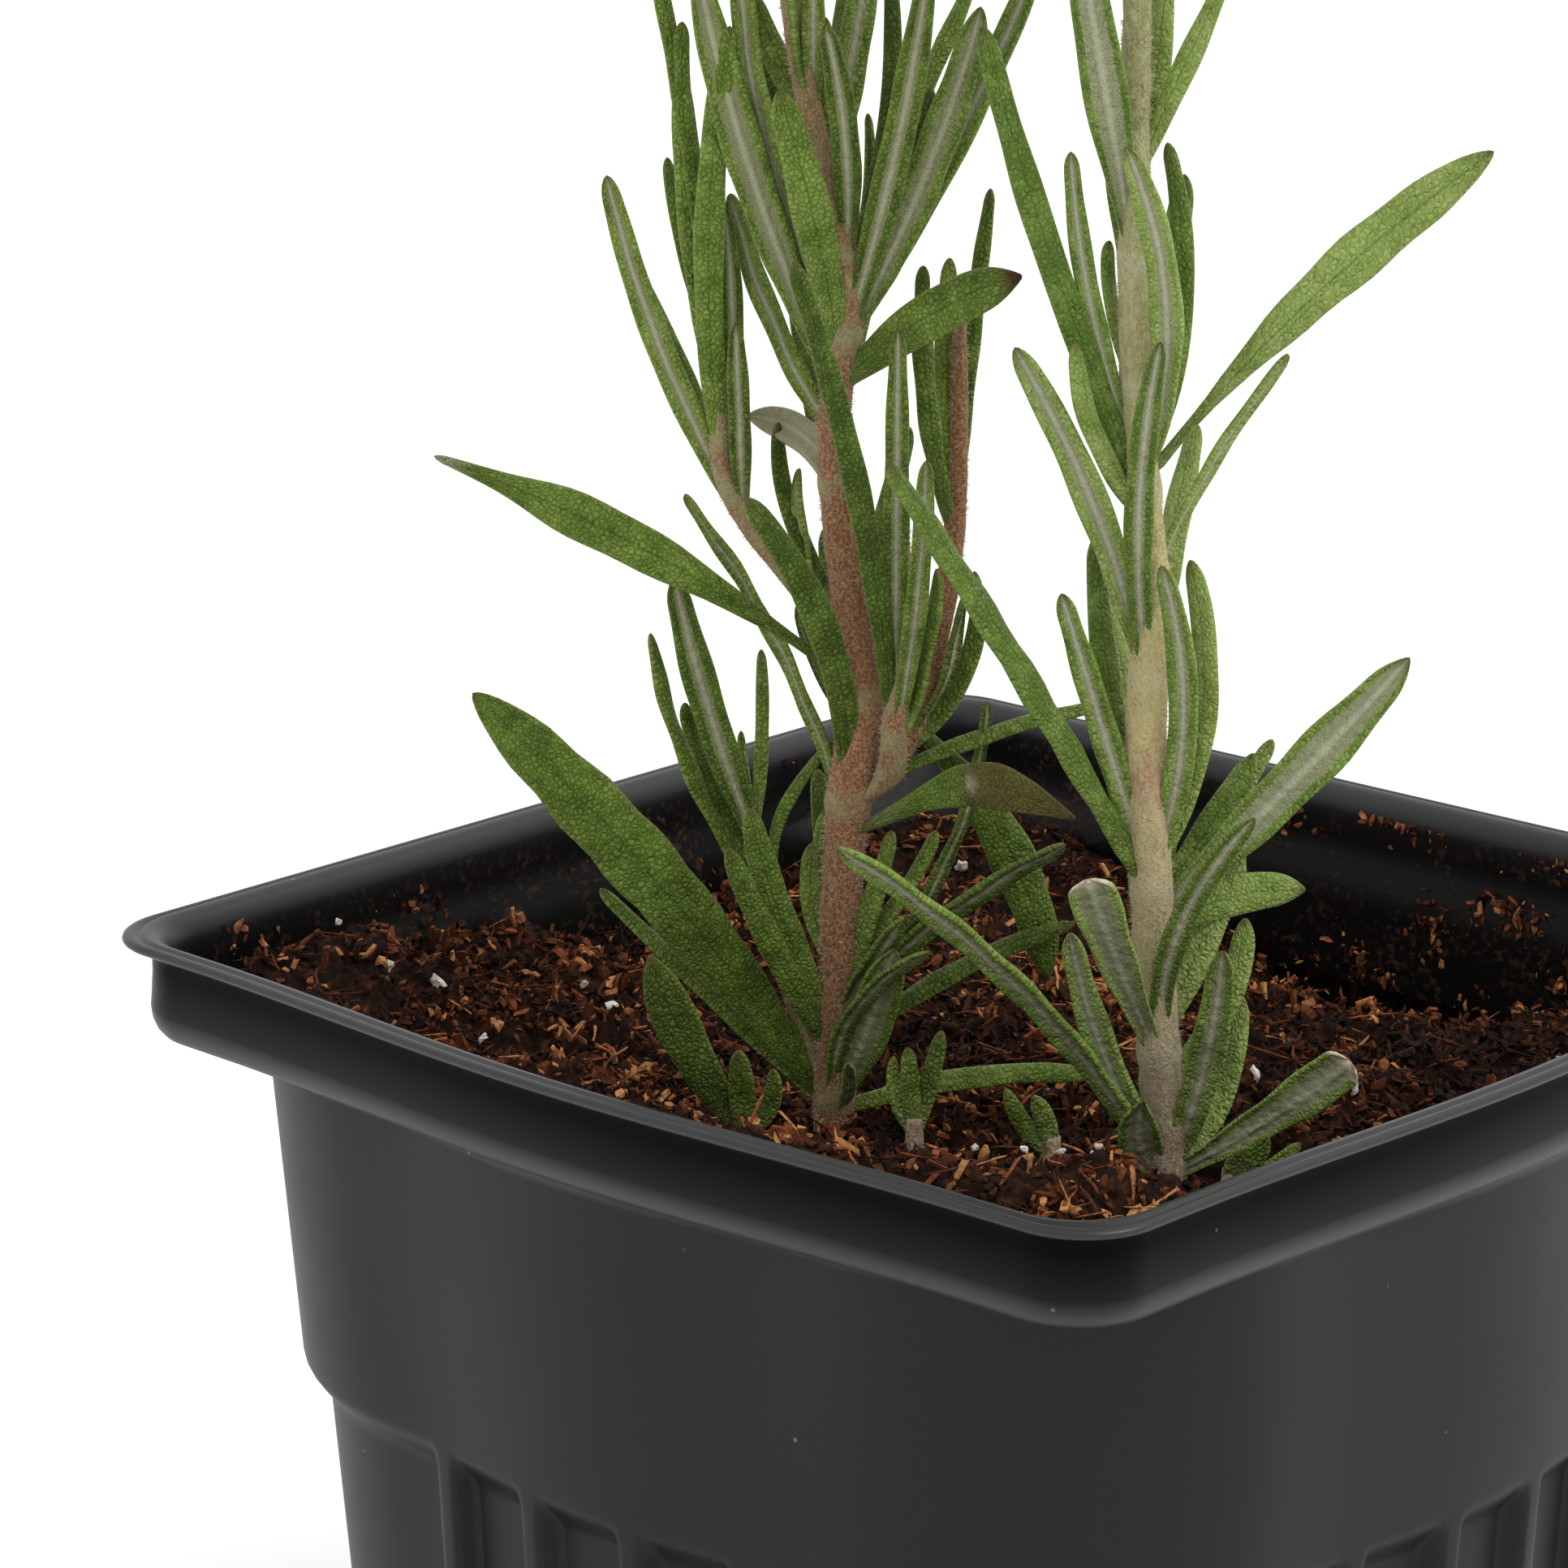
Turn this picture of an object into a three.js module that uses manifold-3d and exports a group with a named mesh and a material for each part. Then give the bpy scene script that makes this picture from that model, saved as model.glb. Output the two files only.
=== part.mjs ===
// Potted rosemary: two rosemary cuttings and four small shoots in a square nursery pot.
// Millimetres, +Z up. The origin is on the surface the pot stands on, below the pot's middle.
import * as THREE from 'three';
import { mergeVertices } from 'three/addons/utils/BufferGeometryUtils.js';
import Module from 'manifold-3d';

const wasm = await Module();
wasm.setup();

// Pot
const potHeight = 88;
const lipHalf = 50;            // half the side of the lip, between its corners
const lipThickness = 0.8;
const bandHalf = 48.4;         // upright band below the lip
const bandBottom = 80.5;       // height of the shoulder under the band
const lipCorner = 6;           // corner radius of lip and band
const bodyHalf = 47.5;         // half side of the body just under the band
const bodyCorner = 24;         // the body's corners are much rounder than the band's
const taper = Math.tan(THREE.MathUtils.degToRad(3.3));
const wall = 1.2;
const floorThickness = 1.6;
const frontBulge = 2.2;        // the filled pot's two front sides swell this much, the rear ones don't
const fluteTop = 52.5;         // the lower wall steps in between ribs below this height
const fluteDepth = 1.8;
const flutePitch = 10.2;
const fluteHalf = 3.75;
const fluteEdge = 0.5;
const cornerFlute = 16.65;     // from here round the corner the wall is stepped in as well
const drainRadius = 4;
const drainPlace = 24;

// Soil
const clearance = 0.3;
const soilLevel = potHeight - 12;
const soilMounds = [           // x, y, height, spread along x, spread along y
  [0, -47, 11, 60, 8],
  [24, -40, 3, 12, 8],
  [39, -34, 10, 13, 11],
  [23, -11, -3, 8, 8],
  [-46, -34, 9.5, 12, 15],
  [-46, -12, 3, 10, 8],
  [-40, 42, 4, 14, 14],
  [5, 47, -11, 16, 11.5],
  [44, 40, 4, 14, 16],
];
const soilLump = 0.7;

// Layout: across runs from the pot's left corner to its right corner, front to its front corner
const layoutTurn = THREE.MathUtils.degToRad(42.6);
const acrossAxis = new THREE.Vector3(Math.cos(layoutTurn), Math.sin(layoutTurn), 0);
const frontAxis = new THREE.Vector3(Math.sin(layoutTurn), -Math.cos(layoutTurn), 0);
const upAxis = new THREE.Vector3(0, 0, 1);
const footHeight = potHeight - 11;
const rootDepth = 28;
const stemSides = 7;
const mainStemSteps = 26;
const sideStemSteps = 6;
const smallStemSteps = 3;
const leafThickness = 0.8;
const minLeafThickness = 0.62;
const shortLeaf = 15;
const tipCrowding = 1.5;       // a leaf's rings stand closer together towards its blunt tip

// A stem is a list of [up, across, front, radius] from its foot.
// A leaf is [up, across, rise, front, width, face, bow, bend]: where it leaves the stem, the
// reach of its tip, its width, and how it turns. Face 1 shows its upper side to the front and
// -1 its underside. Bow curves it to its own left as the front sees it, and bend arches it, both
// as shares of its length. Rows without a bend have none.
const leftMain = {
  path: [
    [-rootDepth, -0.5, 0, 1.2], [-2, -0.5, 0, 1.5], [12, 0, 0, 1.5], [24, 0.5, 0, 1.6],
    [31, 1.5, 0, 1.7], [38, 1, 0, 1.45], [46, 0, 0, 1.35], [54, -0.5, 0, 1.2], [62, 0.5, 0, 1.1],
    [69, -0.5, 0, 1], [75, -2, 0, 0.95], [84, -3.5, 0, 0.9], [100, -5, -1, 0.8],
    [120, -5, -2, 0.7], [140, -4, -2, 0.55], [147, -4, -2, 0.45],
  ],
  leaves: [
    [57.5, -4.5, 21, 5, 2.9, 1, -0.04],
    [65, -1.5, 18, 4, 2.1, -0.9, -0.08],
    [60, 5.5, 26.5, 5, 2.4, -1, -0.04],
    [59.5, 9.5, 24.5, 2, 2.9, -0.9, -0.06],
    [65, 10, 22, -5, 1.6, 0.5, 0],
    [71, 3, 16, -4, 2.5, -0.8, 0],
    [56, 13, 9.5, 6, 3.7, 0.8, 0.12],
    [56, -10, 30.5, 1, 3, -0.9, 0.06],
    [75.5, -4.5, 9, -3, 2.2, 0.5, 0.06],
    [59.5, -7.5, 27.5, 0, 2.4, -0.6, 0.12],
    [52.5, -7.5, 17, -5, 2.1, -0.6, 0.08],
    [48.5, -6.5, 4, -7, 2.5, -1, -0.28],
    [39, -5.5, 13.5, -5, 1.5, 0.5, 0.2],
    [33.5, -4.5, 16, -3, 1.6, -0.5, 0.16],
    [33.5, -31, 18, 2, 3.6, 1, -0.08],
    [23.5, -12, 24, -3, 1.7, -0.5, -0.1],
    [24.5, -7.5, 25, 7, 2.4, 0.9, -0.18],
    [30.5, -4.5, 8.5, -4, 1.5, -0.5, 0.16],
    [22, 16.5, 5, 12, 3.4, 0.9, 0.32],
    [25.5, 20.5, 5.5, -6, 1.4, 0.5, 0.08],
    [8, 4, 15.5, 3, 1.9, 0.6, 0],
    [11.5, -2, 9, -4, 1.6, 0.5, 0.2],
    [12, -1, 10.5, -6, 1.5, 0.5, 0.14],
    [7, -6.5, 18.5, 4, 2.4, 0.9, 0.08],
    [5, -8, 18, 6, 2, 0.9, 0.04],
    [0.5, -26.5, 33.5, 3, 5.2, 1, -0.06],
    [0.5, -17.5, 17, -2, 1.6, 0.5, 0],
    [1, 7, 14.5, 7, 1.7, -0.5, 0.28],
    [7.5, 5, 10, 5, 2, -0.5, 0.04],
    [0.5, 4.5, 14.5, 5, 3.6, -1, -0.02],
    [9, 17, 12, -2, 2.2, -0.5, 0.08],
    [5, 18, 9.5, -3, 1.7, 0.5, 0.12],
    [0.5, 20, 3, 0, 1.9, 0.5, 0.12],
    [0.5, 1, 6, 6, 1.2, 0.5, -0.12],
    [12.5, 7, 11, 3, 1.6, 0.5, -0.12],
    [9, 11, 22.5, -4, 1.6, -0.5, -0.2],
    [64, 3, 22, -5, 1.5, 0.5, -0.12],
    [64, 1.5, 11.5, -4, 0.9, 0.5, -0.12],
    [60, 13.5, 26.5, -1, 2.2, -1, -0.04],
    [59.5, 6, 18.5, 0, 1.1, 0.5, -0.08],
    [72, 0, 11, 0, 1.2, 0.5, -0.04],
    [75.5, 0, 12.5, 2, 1.7, 0.5, 0],
    [76, -1.5, 11.5, 3, 1, 0.5, 0.06],
    [71, -5.5, 11, -5, 1.6, 0.5, 0.08],
  ],
};
const leftSideShoots = [
  {
    path: [
      [36, 0.5, 0, 0.9], [39.5, -2, -1, 0.9], [45, -6.5, -2, 0.85], [49, -8.5, -2, 0.8],
      [54.5, -9, -2, 0.7], [60, -9.3, -2, 0.5],
    ],
    leaves: [
      [45, -10.5, 26, -2, 2.2, -0.8, 0.08],
      [50.5, -6, 12.5, -5, 1.7, 0.5, 0],
      [54.5, -2.5, 27.5, -3, 1.7, 0.8, 0.06],
      [49, 0.5, 33.5, 3, 2.2, 0.8, 0.08],
      [46, -0.5, 15, 3, 1.7, -0.5, 0],
      [58.5, -3.5, 13, -7, 1.4, 0.5, 0.04],
      [49, 0, 20, 0, 1.7, -0.8, -0.06],
      [58.5, -4.5, 28.5, -4, 1.6, 0.5, -0.04],
    ],
  },
  {
    path: [
      [25, 1.5, 0, 1.1], [27, 3.5, 1, 1.1], [31, 4, 2, 1], [37, 4.3, 2, 0.85], [46, 4.5, 2, 0.5],
    ],
    leaves: [
      [30.5, 0, 31, 4, 1.9, -1, 0],
      [30, 2, 22.5, 6, 1.7, -0.6, -0.04],
      [29, 3, 14.5, 2, 1.9, 0.5, -0.08],
      [30, -7.5, 37, 7, 1.9, 0.9, -0.06],
    ],
  },
  {
    path: [
      [25, 1, 0, 1], [28, 4.5, -2, 1], [35, 7, -5, 0.9], [43.5, 8.5, -7, 0.8], [53, 8.8, -8, 0.7],
      [60, 8.8, -8, 0.5],
    ],
    leaves: [
      [44.5, 2.5, 24.5, -3, 1.4, 0.6, 0.02],
      [44.5, -0.5, 19.5, -2, 1.9, 0.7, 0.04],
      [43.5, -2.5, 21, 4, 1.7, 0.8, 0.08],
      [28, 4.5, 11.5, -2, 1.6, -0.5, -0.16],
      [30, 10.5, -21, -3, 3.6, 0.8, 0.16],
      [28, 5.5, 13, -4, 1.5, 0.5, -0.3],
    ],
  },
  {
    path: [[1, -1, 0, 0.9], [8, -3, -1, 0.85], [15.5, -5, -3, 0.75], [21.5, -6.5, -4, 0.5]],
    leaves: [
      [20.5, -6, 21, 2, 2.6, -1, 0.04],
      [15.5, -9, 21.5, 0, 1.5, 0.5, 0.12],
      [18, -6, 13, -2, 1.5, 0.5, 0.1],
      [21, 0.5, 14, -2, 1.1, 0.5, -0.04],
      [19, -1.5, 9.5, -3, 0.9, 0.5, 0.06],
      [15, 4.5, 14, 1, 1.2, 0.5, 0.28],
    ],
  },
];
const rightMain = {
  path: [
    [-rootDepth, 1, 0, 1.2], [-2, 1, 0, 1.6], [7, 0.5, 0, 1.6], [13, 0, 0, 1.55],
    [24, -0.6, 0, 1.5], [31, -1, 0, 1.5], [37, -1, 0, 1.4], [43, -0.7, 0, 1.3], [50, -1.5, 0, 1.2],
    [56, -2, 0, 1.15], [64, -2.5, 0, 1.1], [76, -2.6, 0, 1.05], [88, -2.6, 0, 1],
    [104, -2, 1, 0.85], [122, -1, 2, 0.7], [136, 0, 2, 0.55], [141, 0, 2, 0.45],
  ],
  leaves: [
    [20.5, -19.5, 34, 9, 2.6, 0.6, -0.02],
    [21, -7, 22.5, 2, 2.1, -0.9, 0],
    [23.5, -4, 22.5, -5, 2.1, 0.5, 0.08],
    [22, 0, 24, 4, 2.2, -1, -0.16],
    [22, 2.5, 23, -2, 2.1, 0.5, -0.2],
    [18.5, 18, 20, 1, 3.7, -1, -0.02],
    [8, 6, 20, 6, 2.1, -0.8, 0.2],
    [19.5, 7.5, 10.5, -4, 2.7, 0.5, -0.06],
    [19, 9, 11.5, -6, 1.7, 0.5, -0.04],
    [17.5, 11.5, 2, -4, 3.1, 1, 0.18],
    [9.5, 6, 13.5, -3, 2.5, 0.7, -0.02],
    [6, 6, 12, -2, 2.2, 0.6, -0.24],
    [-1.5, 5.5, 13, -4, 1.7, 0.5, -0.24],
    [-1.5, 3.5, 19, 4, 2.7, -1, -0.08],
    [-1.5, 13, 10.5, 4, 3.6, -1, -0.04],
    [-1.5, -2, 7.5, 4, 3.2, -0.8, 0.24],
    [7.5, -6, 16.5, 8, 3.6, -0.9, 0.02],
    [-1.5, -7.5, 20, 3, 2.4, -0.9, 0.08],
    [-1.5, -24.5, 28, 8, 2.4, -0.5, -0.12],
    [50, -12, 34, 3, 2.2, 0.9, 0.04],
    [51.5, -5.5, 23.5, 1, 1.7, -0.9, 0.08],
    [48.5, -5.5, 13.5, 4, 2.1, 0.6, 0.14],
    [36.5, -10, 25, 3, 2.5, -0.8, -0.08],
    [36.5, 0, 26, 6, 2.1, -0.7, 0.08],
    [51.5, -2, 24.5, 5, 2.4, -1, -0.18],
    [51.5, 1.5, 23.5, -3, 1.7, 0.6, -0.16],
    [51, 24, 24, 1, 3.5, 1, 0.08],
    [44, 9.5, 16, -2, 1.6, -0.5, 0.08],
    [73, 6, 14.5, 2, 1.7, 0.8, 0],
    [67.5, -4.5, 23, 5, 3.2, -1, 0],
    [58, -2, 10, -3, 1.2, 0.5, 0.12],
    [73, 2, 15.5, -3, 1.7, 0.5, -0.08],
  ],
};
const plants = [               // foot: across and front
  {
    name: 'left_rosemary', foot: [-13, 15], seed: 11,
    main: leftMain, sides: leftSideShoots, crown: [84, 144],
  },
  {
    name: 'right_rosemary', foot: [10, 24], seed: 43,
    main: rightMain, sides: [], crown: [86, 138],
  },
];
const smallShoots = [
  {
    name: 'small_shoot_left', foot: [-20, 22],
    leaves: [
      [1, -7, 14.5, 1, 3.4, 1, 0.08],
      [1, -0.5, 7.5, 2, 2, 0.9, 0],
      [1, 2, 6, 2, 1.4, 0.9, -0.24],
    ],
  },
  {
    name: 'small_shoot_centre', foot: [-7.5, 22],
    leaves: [
      [1, -0.5, 7, 0, 1.5, 0.8, 0],
      [1, 2, 8, -1, 1.6, 0.5, 0],
      [1, -1.5, 6, -1, 1.1, 0.8, 0.2],
    ],
  },
  {
    name: 'small_shoot_middle', foot: [2.5, 26],
    leaves: [
      [1, -3.5, 5.5, 1, 1.4, 0.9, 0.12],
      [1, -1.5, 5, 1, 1.5, 0.9, -0.12],
    ],
  },
  {
    name: 'small_shoot_right', foot: [15, 33],
    leaves: [
      [1, 1, 3.5, 1, 1.4, 0.9, 0.16],
      [1, 2.5, 4.5, 1, 1.6, 0.9, -0.08],
      [1, 5, 3.5, 0, 1.2, 0.9, -0.12],
    ],
  },
];
const smallStem = [[-6, 0, 0, 0.8], [-2, 0, 0, 0.8], [2.5, 0, 0, 0.6]];

// Leaves that the hand-placed ones leave out: rear ones low down, and the crown above them
const rearFrom = 10;
const rearStep = 9;
const rearTo = 80;
const crownStep = 5.4;

function seededRandom(seed) {  // the same draws each run
  let state = seed;
  return () => {
    state = (state * 16807) % 2147483647;
    return state / 2147483647;
  };
}

function toSolid(geometry) {
  geometry.deleteAttribute('normal');
  geometry.deleteAttribute('uv');
  const merged = mergeVertices(geometry, 1e-4);
  const index = merged.index.array;
  const triangles = [];
  for (let i = 0; i < index.length; i += 3) {
    const [a, b, c] = index.slice(i, i + 3);
    if (a !== b && b !== c && c !== a) triangles.push(a, b, c);
  }
  return new wasm.Manifold(new wasm.Mesh({
    numProp: 3,
    vertProperties: new Float32Array(merged.attributes.position.array),
    triVerts: new Uint32Array(triangles),
  }));
}

function toMesh(name, solid, material) {
  const mesh = solid.getMesh();
  const geometry = new THREE.BufferGeometry();
  geometry.setAttribute('position', new THREE.BufferAttribute(mesh.vertProperties, 3));
  geometry.setIndex(new THREE.BufferAttribute(mesh.triVerts, 1));
  geometry.computeVertexNormals();
  const made = new THREE.Mesh(geometry, material);
  made.name = name;
  return made;
}

// One quarter of the way round the pot: places along a side, from its middle outwards
const fluteMarks = [];
for (const centre of [0, flutePitch]) {
  const edges = centre ? [centre - fluteHalf, centre + fluteHalf] : [fluteHalf];
  for (const edge of edges) fluteMarks.push(edge - fluteEdge / 2, edge + fluteEdge / 2);
}
fluteMarks.push(cornerFlute - fluteEdge / 2, cornerFlute + fluteEdge / 2);
const straightEnd = bodyHalf - bodyCorner;
const potMarks = [...fluteMarks, straightEnd];
const soilMarks = [flutePitch / 2, cornerFlute, straightEnd];
const cornerSteps = 5;

// Places once round: side 0 to 3, along the side, or the share of the corner after it
function placesRound(marks) {
  const alongs = [...marks.map((m) => -m).reverse(), ...marks];
  const round = [];
  for (let side = 0; side < 4; side++) {
    for (const along of alongs) round.push({ side, along });
    for (let k = 1; k < cornerSteps; k++) round.push({ side, turn: k / cornerSteps });
  }
  return round;
}

function inFlute(along) {
  const a = Math.abs(along);
  return a < fluteHalf || Math.abs(a - flutePitch) < fluteHalf || a > cornerFlute;
}

// A point of a rounded square: sides 0 (front left) and 1 (front right) swell, 2 and 3 don't
function squarePoint(place, half, corner, z, depth = 0, spread = false) {
  const straight = half - corner;
  const bulge = place.side < 2 ? frontBulge : 0;
  let x;
  let y;
  if (place.along !== undefined) {
    const share = place.along / straightEnd;
    const stretched = spread || Math.abs(place.along) === straightEnd;
    const along = stretched ? share * straight : place.along;
    const swell = bulge * Math.cos((share * Math.PI) / 2) ** 2;
    x = along;
    y = -(half + swell - (inFlute(place.along) ? depth : 0));
  } else {
    const angle = (place.turn * Math.PI) / 2;
    x = straight + (corner - depth) * Math.sin(angle);
    y = -straight - (corner - depth) * Math.cos(angle);
  }
  const turned = new THREE.Vector2(x, y).rotateAround(new THREE.Vector2(), (place.side * Math.PI) / 2);
  return new THREE.Vector3(turned.x, turned.y, z);
}

// A closed turned form whose rings are laid on the places round the pot
function ringForm(rings, places) {
  const profile = rings.map((ring, k) => new THREE.Vector2(ring.axis ? 0 : 1, k));
  const geometry = new THREE.LatheGeometry(profile, places.length);
  const position = geometry.attributes.position;
  for (let i = 0; i <= places.length; i++) {
    rings.forEach((ring, k) => {
      const place = places[i % places.length];
      const p = ring.axis ? new THREE.Vector3(0, 0, ring.z) : ring.at(place);
      position.setXYZ(i * rings.length + k, p.x, p.y, p.z);
    });
  }
  return toSolid(geometry);
}

function bodyHalfAt(z) {
  return bodyHalf - (bandBottom - z) * taper;
}

const bodyRing = (z, depth, inset = 0) => ({
  at: (place) => squarePoint(place, bodyHalfAt(z) - inset, bodyCorner - inset, z, depth),
});
const bandRing = (z, half, corner = lipCorner) => ({
  at: (place) => squarePoint(place, half, corner, z, 0, true),
});

function makePot() {
  const inner = bandHalf - wall;
  const rings = [
    { axis: true, z: 0 },
    bodyRing(0, fluteDepth, 2),
    bodyRing(1.6, fluteDepth),
    bodyRing(fluteTop - 1.2, fluteDepth),
    bodyRing(fluteTop, fluteDepth * 0.75),
    bodyRing(fluteTop + 1.2, 0),
    bodyRing(bandBottom - 0.4, 0),
    bandRing(bandBottom + 0.1, bandHalf - 0.6),
    bandRing(bandBottom + 1.2, bandHalf + 0.2),
    bandRing(potHeight - lipThickness - 0.5, bandHalf),
    bandRing(potHeight - lipThickness, bandHalf + 0.4),
    bandRing(potHeight - lipThickness, lipHalf - 0.2),
    bandRing(potHeight - lipThickness / 2, lipHalf),
    bandRing(potHeight, lipHalf - 0.4),
    bandRing(potHeight, inner + 0.6),
    bandRing(potHeight - 1.2, inner),
    bandRing(bandBottom + 1.6, inner, lipCorner - 0.6),
    bodyRing(bandBottom + 0.2, 0, wall),
    bodyRing(fluteTop + 1.2 + wall, 0, wall),
    bodyRing(fluteTop, fluteDepth * 0.75, wall),
    bodyRing(fluteTop - 1.2, fluteDepth, wall),
    bodyRing(floorThickness, fluteDepth, wall + 1),
    { axis: true, z: floorThickness },
  ];
  let pot = ringForm(rings, placesRound(potMarks));
  for (const x of [-drainPlace, drainPlace]) {
    for (const y of [-drainPlace, drainPlace]) {
      const hole = new THREE.CylinderGeometry(drainRadius, drainRadius, 4 * floorThickness, 16);
      hole.rotateX(Math.PI / 2).translate(x, y, 0);
      pot = pot.subtract(toSolid(hole));
    }
  }
  return pot;
}

function soilHeight(x, y) {
  let height = soilLevel;
  for (const [cx, cy, rise, wide, deep] of soilMounds) {
    height += rise * Math.exp(-(((x - cx) / wide) ** 2) - ((y - cy) / deep) ** 2);
  }
  const lump = Math.sin(x * 0.55 + 1.3 * Math.sin(y * 0.3)) * Math.sin(y * 0.6 + Math.sin(x * 0.37));
  return height + soilLump * lump;
}

function makeSoil() {
  const outerHalf = bodyHalf - wall - clearance;
  const outerCorner = bodyCorner - wall - clearance;
  const places = placesRound(soilMarks);
  const low = floorThickness + clearance;
  const belowFlutes = fluteDepth + wall + clearance;
  const wallRing = (z, inset) => ({
    at: (place) => squarePoint(place, bodyHalfAt(z) - inset, bodyCorner - inset, z, 0),
  });
  const topRing = (share) => ({
    at: (place) => {
      const p = squarePoint(place, outerHalf, outerCorner, 0);
      p.multiplyScalar(share);
      p.z = Math.min(soilHeight(p.x, p.y), potHeight);
      return p;
    },
  });
  const rings = [
    { axis: true, z: low },
    wallRing(low, belowFlutes + 1),
    wallRing(fluteTop + 1, belowFlutes),
    wallRing(fluteTop + 3.2, wall + clearance),
    {
      at: (place) => {
        const p = squarePoint(place, outerHalf, outerCorner, 0);
        const z = Math.min(soilHeight(p.x, p.y), bandBottom + 1.2);
        return squarePoint(place, bodyHalfAt(z) - wall - clearance, outerCorner, z);
      },
    },
    topRing(0.98),
    topRing(0.92),
    topRing(0.82),
    topRing(0.7),
    topRing(0.54),
    topRing(0.36),
    topRing(0.18),
    { axis: true, z: soilHeight(0, 0) },
  ];
  return ringForm(rings, places);
}

function layoutPoint(across, front, z) {
  return new THREE.Vector3(0, 0, z)
    .addScaledVector(acrossAxis, across)
    .addScaledVector(frontAxis, front);
}

// A smooth line through the stem's points, read by height
function stemPoint(path, up) {
  let k = 0;
  while (k < path.length - 2 && up > path[k + 1][0]) k++;
  const [a, b] = [path[k], path[k + 1]];
  const before = path[Math.max(k - 1, 0)];
  const after = path[Math.min(k + 2, path.length - 1)];
  const t = THREE.MathUtils.clamp((up - a[0]) / (b[0] - a[0]), 0, 1);
  return [1, 2, 3].map((i) => {
    const startSlope = (b[i] - before[i]) / (b[0] - before[0]);
    const endSlope = (after[i] - a[i]) / (after[0] - a[0]);
    const span = b[0] - a[0];
    return a[i] * (2 * t ** 3 - 3 * t ** 2 + 1) + b[i] * (3 * t ** 2 - 2 * t ** 3)
      + span * (startSlope * (t ** 3 - 2 * t ** 2 + t) + endSlope * (t ** 3 - t ** 2));
  });
}

function makeStem(path, foot, steps) {
  const geometry = new THREE.CylinderGeometry(1, 1, 1, stemSides, steps);
  const position = geometry.attributes.position;
  const [low, high] = [path[0][0], path[path.length - 1][0]];
  for (let i = 0; i < position.count; i++) {
    const up = low + (high - low) * (position.getY(i) + 0.5);
    const [across, front, radius] = stemPoint(path, up);
    const p = layoutPoint(
      foot[0] + across + radius * position.getX(i),
      foot[1] + front + radius * position.getZ(i),
      footHeight + up,
    );
    position.setXYZ(i, p.x, p.y, p.z);
  }
  return toSolid(geometry);
}

// Leaf width along its length, from a narrow root to a blunt tip
function widthShare(t) {
  return 0.3 + 0.7 * Math.sin(Math.PI * (0.08 + 0.72 * t) ** 0.8);
}

function makeLeaf(leaf, path, foot) {
  const [up, across, rise, front, width, face, bow, bend = 0] = leaf;
  const [stemAcross, stemFront] = stemPoint(path, up);
  const root = layoutPoint(foot[0] + stemAcross, foot[1] + stemFront, footHeight + up);
  const reach = layoutPoint(across, front, rise);
  const length = reach.length();
  const tip = root.clone().add(reach);
  const along = reach.clone().normalize();
  const arch = upAxis.clone().addScaledVector(along, -upAxis.dot(along)).normalize();
  const leftward = new THREE.Vector3().crossVectors(frontAxis, along).normalize();
  const middle = root.clone().lerp(tip, 0.5)
    .addScaledVector(arch, bend * length)
    .addScaledVector(leftward, bow * length);
  const curve = new THREE.QuadraticBezierCurve3(root, middle, tip);
  const natural = arch.clone().multiplyScalar(1 - Math.abs(face));
  const upper = natural.addScaledVector(frontAxis, face).addScaledVector(upAxis, 0.25 * face);

  const geometry = new THREE.SphereGeometry(1, 4, length > shortLeaf ? 4 : 3);
  const position = geometry.attributes.position;
  for (let i = 0; i < position.count; i++) {
    const unit = new THREE.Vector3().fromBufferAttribute(position, i);
    const evenShare = Math.asin(THREE.MathUtils.clamp(unit.y, -1, 1)) / Math.PI + 0.5;
    const t = 1 - (1 - evenShare) ** tipCrowding;
    const flat = Math.hypot(unit.x, unit.z);
    const [sideShare, thickShare] = flat > 1e-6 ? [unit.x / flat, unit.z / flat] : [0, 0];
    const tangent = curve.getTangent(t);
    const side = new THREE.Vector3().crossVectors(tangent, upper).normalize();
    const normal = new THREE.Vector3().crossVectors(side, tangent);
    const halfWidth = (width / 2) * widthShare(t);
    const halfThick = Math.max(leafThickness * Math.min(1, width / 2.4), minLeafThickness) / 2;
    const p = curve.getPoint(t)
      .addScaledVector(side, flat > 1e-6 ? halfWidth * sideShare : 0)
      .addScaledVector(normal, flat > 1e-6 ? halfThick * thickShare : 0);
    position.setXYZ(i, p.x, p.y, p.z);
  }
  return toSolid(geometry);
}

// Leaves that lean away from the front, between the hand-placed ones
function rearLeaves(random) {
  const leaves = [];
  let hand = 1;
  for (let up = rearFrom; up <= rearTo; up += rearStep) {
    hand = -hand;
    leaves.push([
      up, hand * (1.5 + 3 * random()), 13 + 4 * random(), -8 - 4 * random(),
      1.9 + 0.6 * random(), 0, 0, 0.1 * random() - 0.05,
    ]);
  }
  return leaves;
}

// Crossed pairs up to the tip, each with a pair of short leaves in its axils
function crownLeaves([from, to], random) {
  const leaves = [];
  const count = Math.round((to - from) / crownStep);
  for (let k = 0; k <= count; k++) {
    const share = k / count;
    const pairTurn = k * 90 + 30 * random();
    for (let n = 0; n < 4; n++) {
      const short = n % 2 === 1;
      const length = (short ? 0.55 : 1) * (23 - 12 * share + 3 * random());
      const lean = THREE.MathUtils.degToRad((short ? 26 : 38) - 14 * share + 8 * random());
      const turn = THREE.MathUtils.degToRad(pairTurn + 90 * n + 16 * random());
      leaves.push([
        from + (to - from) * share + (short ? 2 : 0),
        length * Math.sin(lean) * Math.cos(turn),
        length * Math.cos(lean),
        length * Math.sin(lean) * Math.sin(turn),
        (short ? 1.6 : 2.4) - 0.4 * share + 0.4 * random(), 0, 0, 0.12 * random() - 0.04,
      ]);
    }
  }
  return leaves;
}

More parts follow.
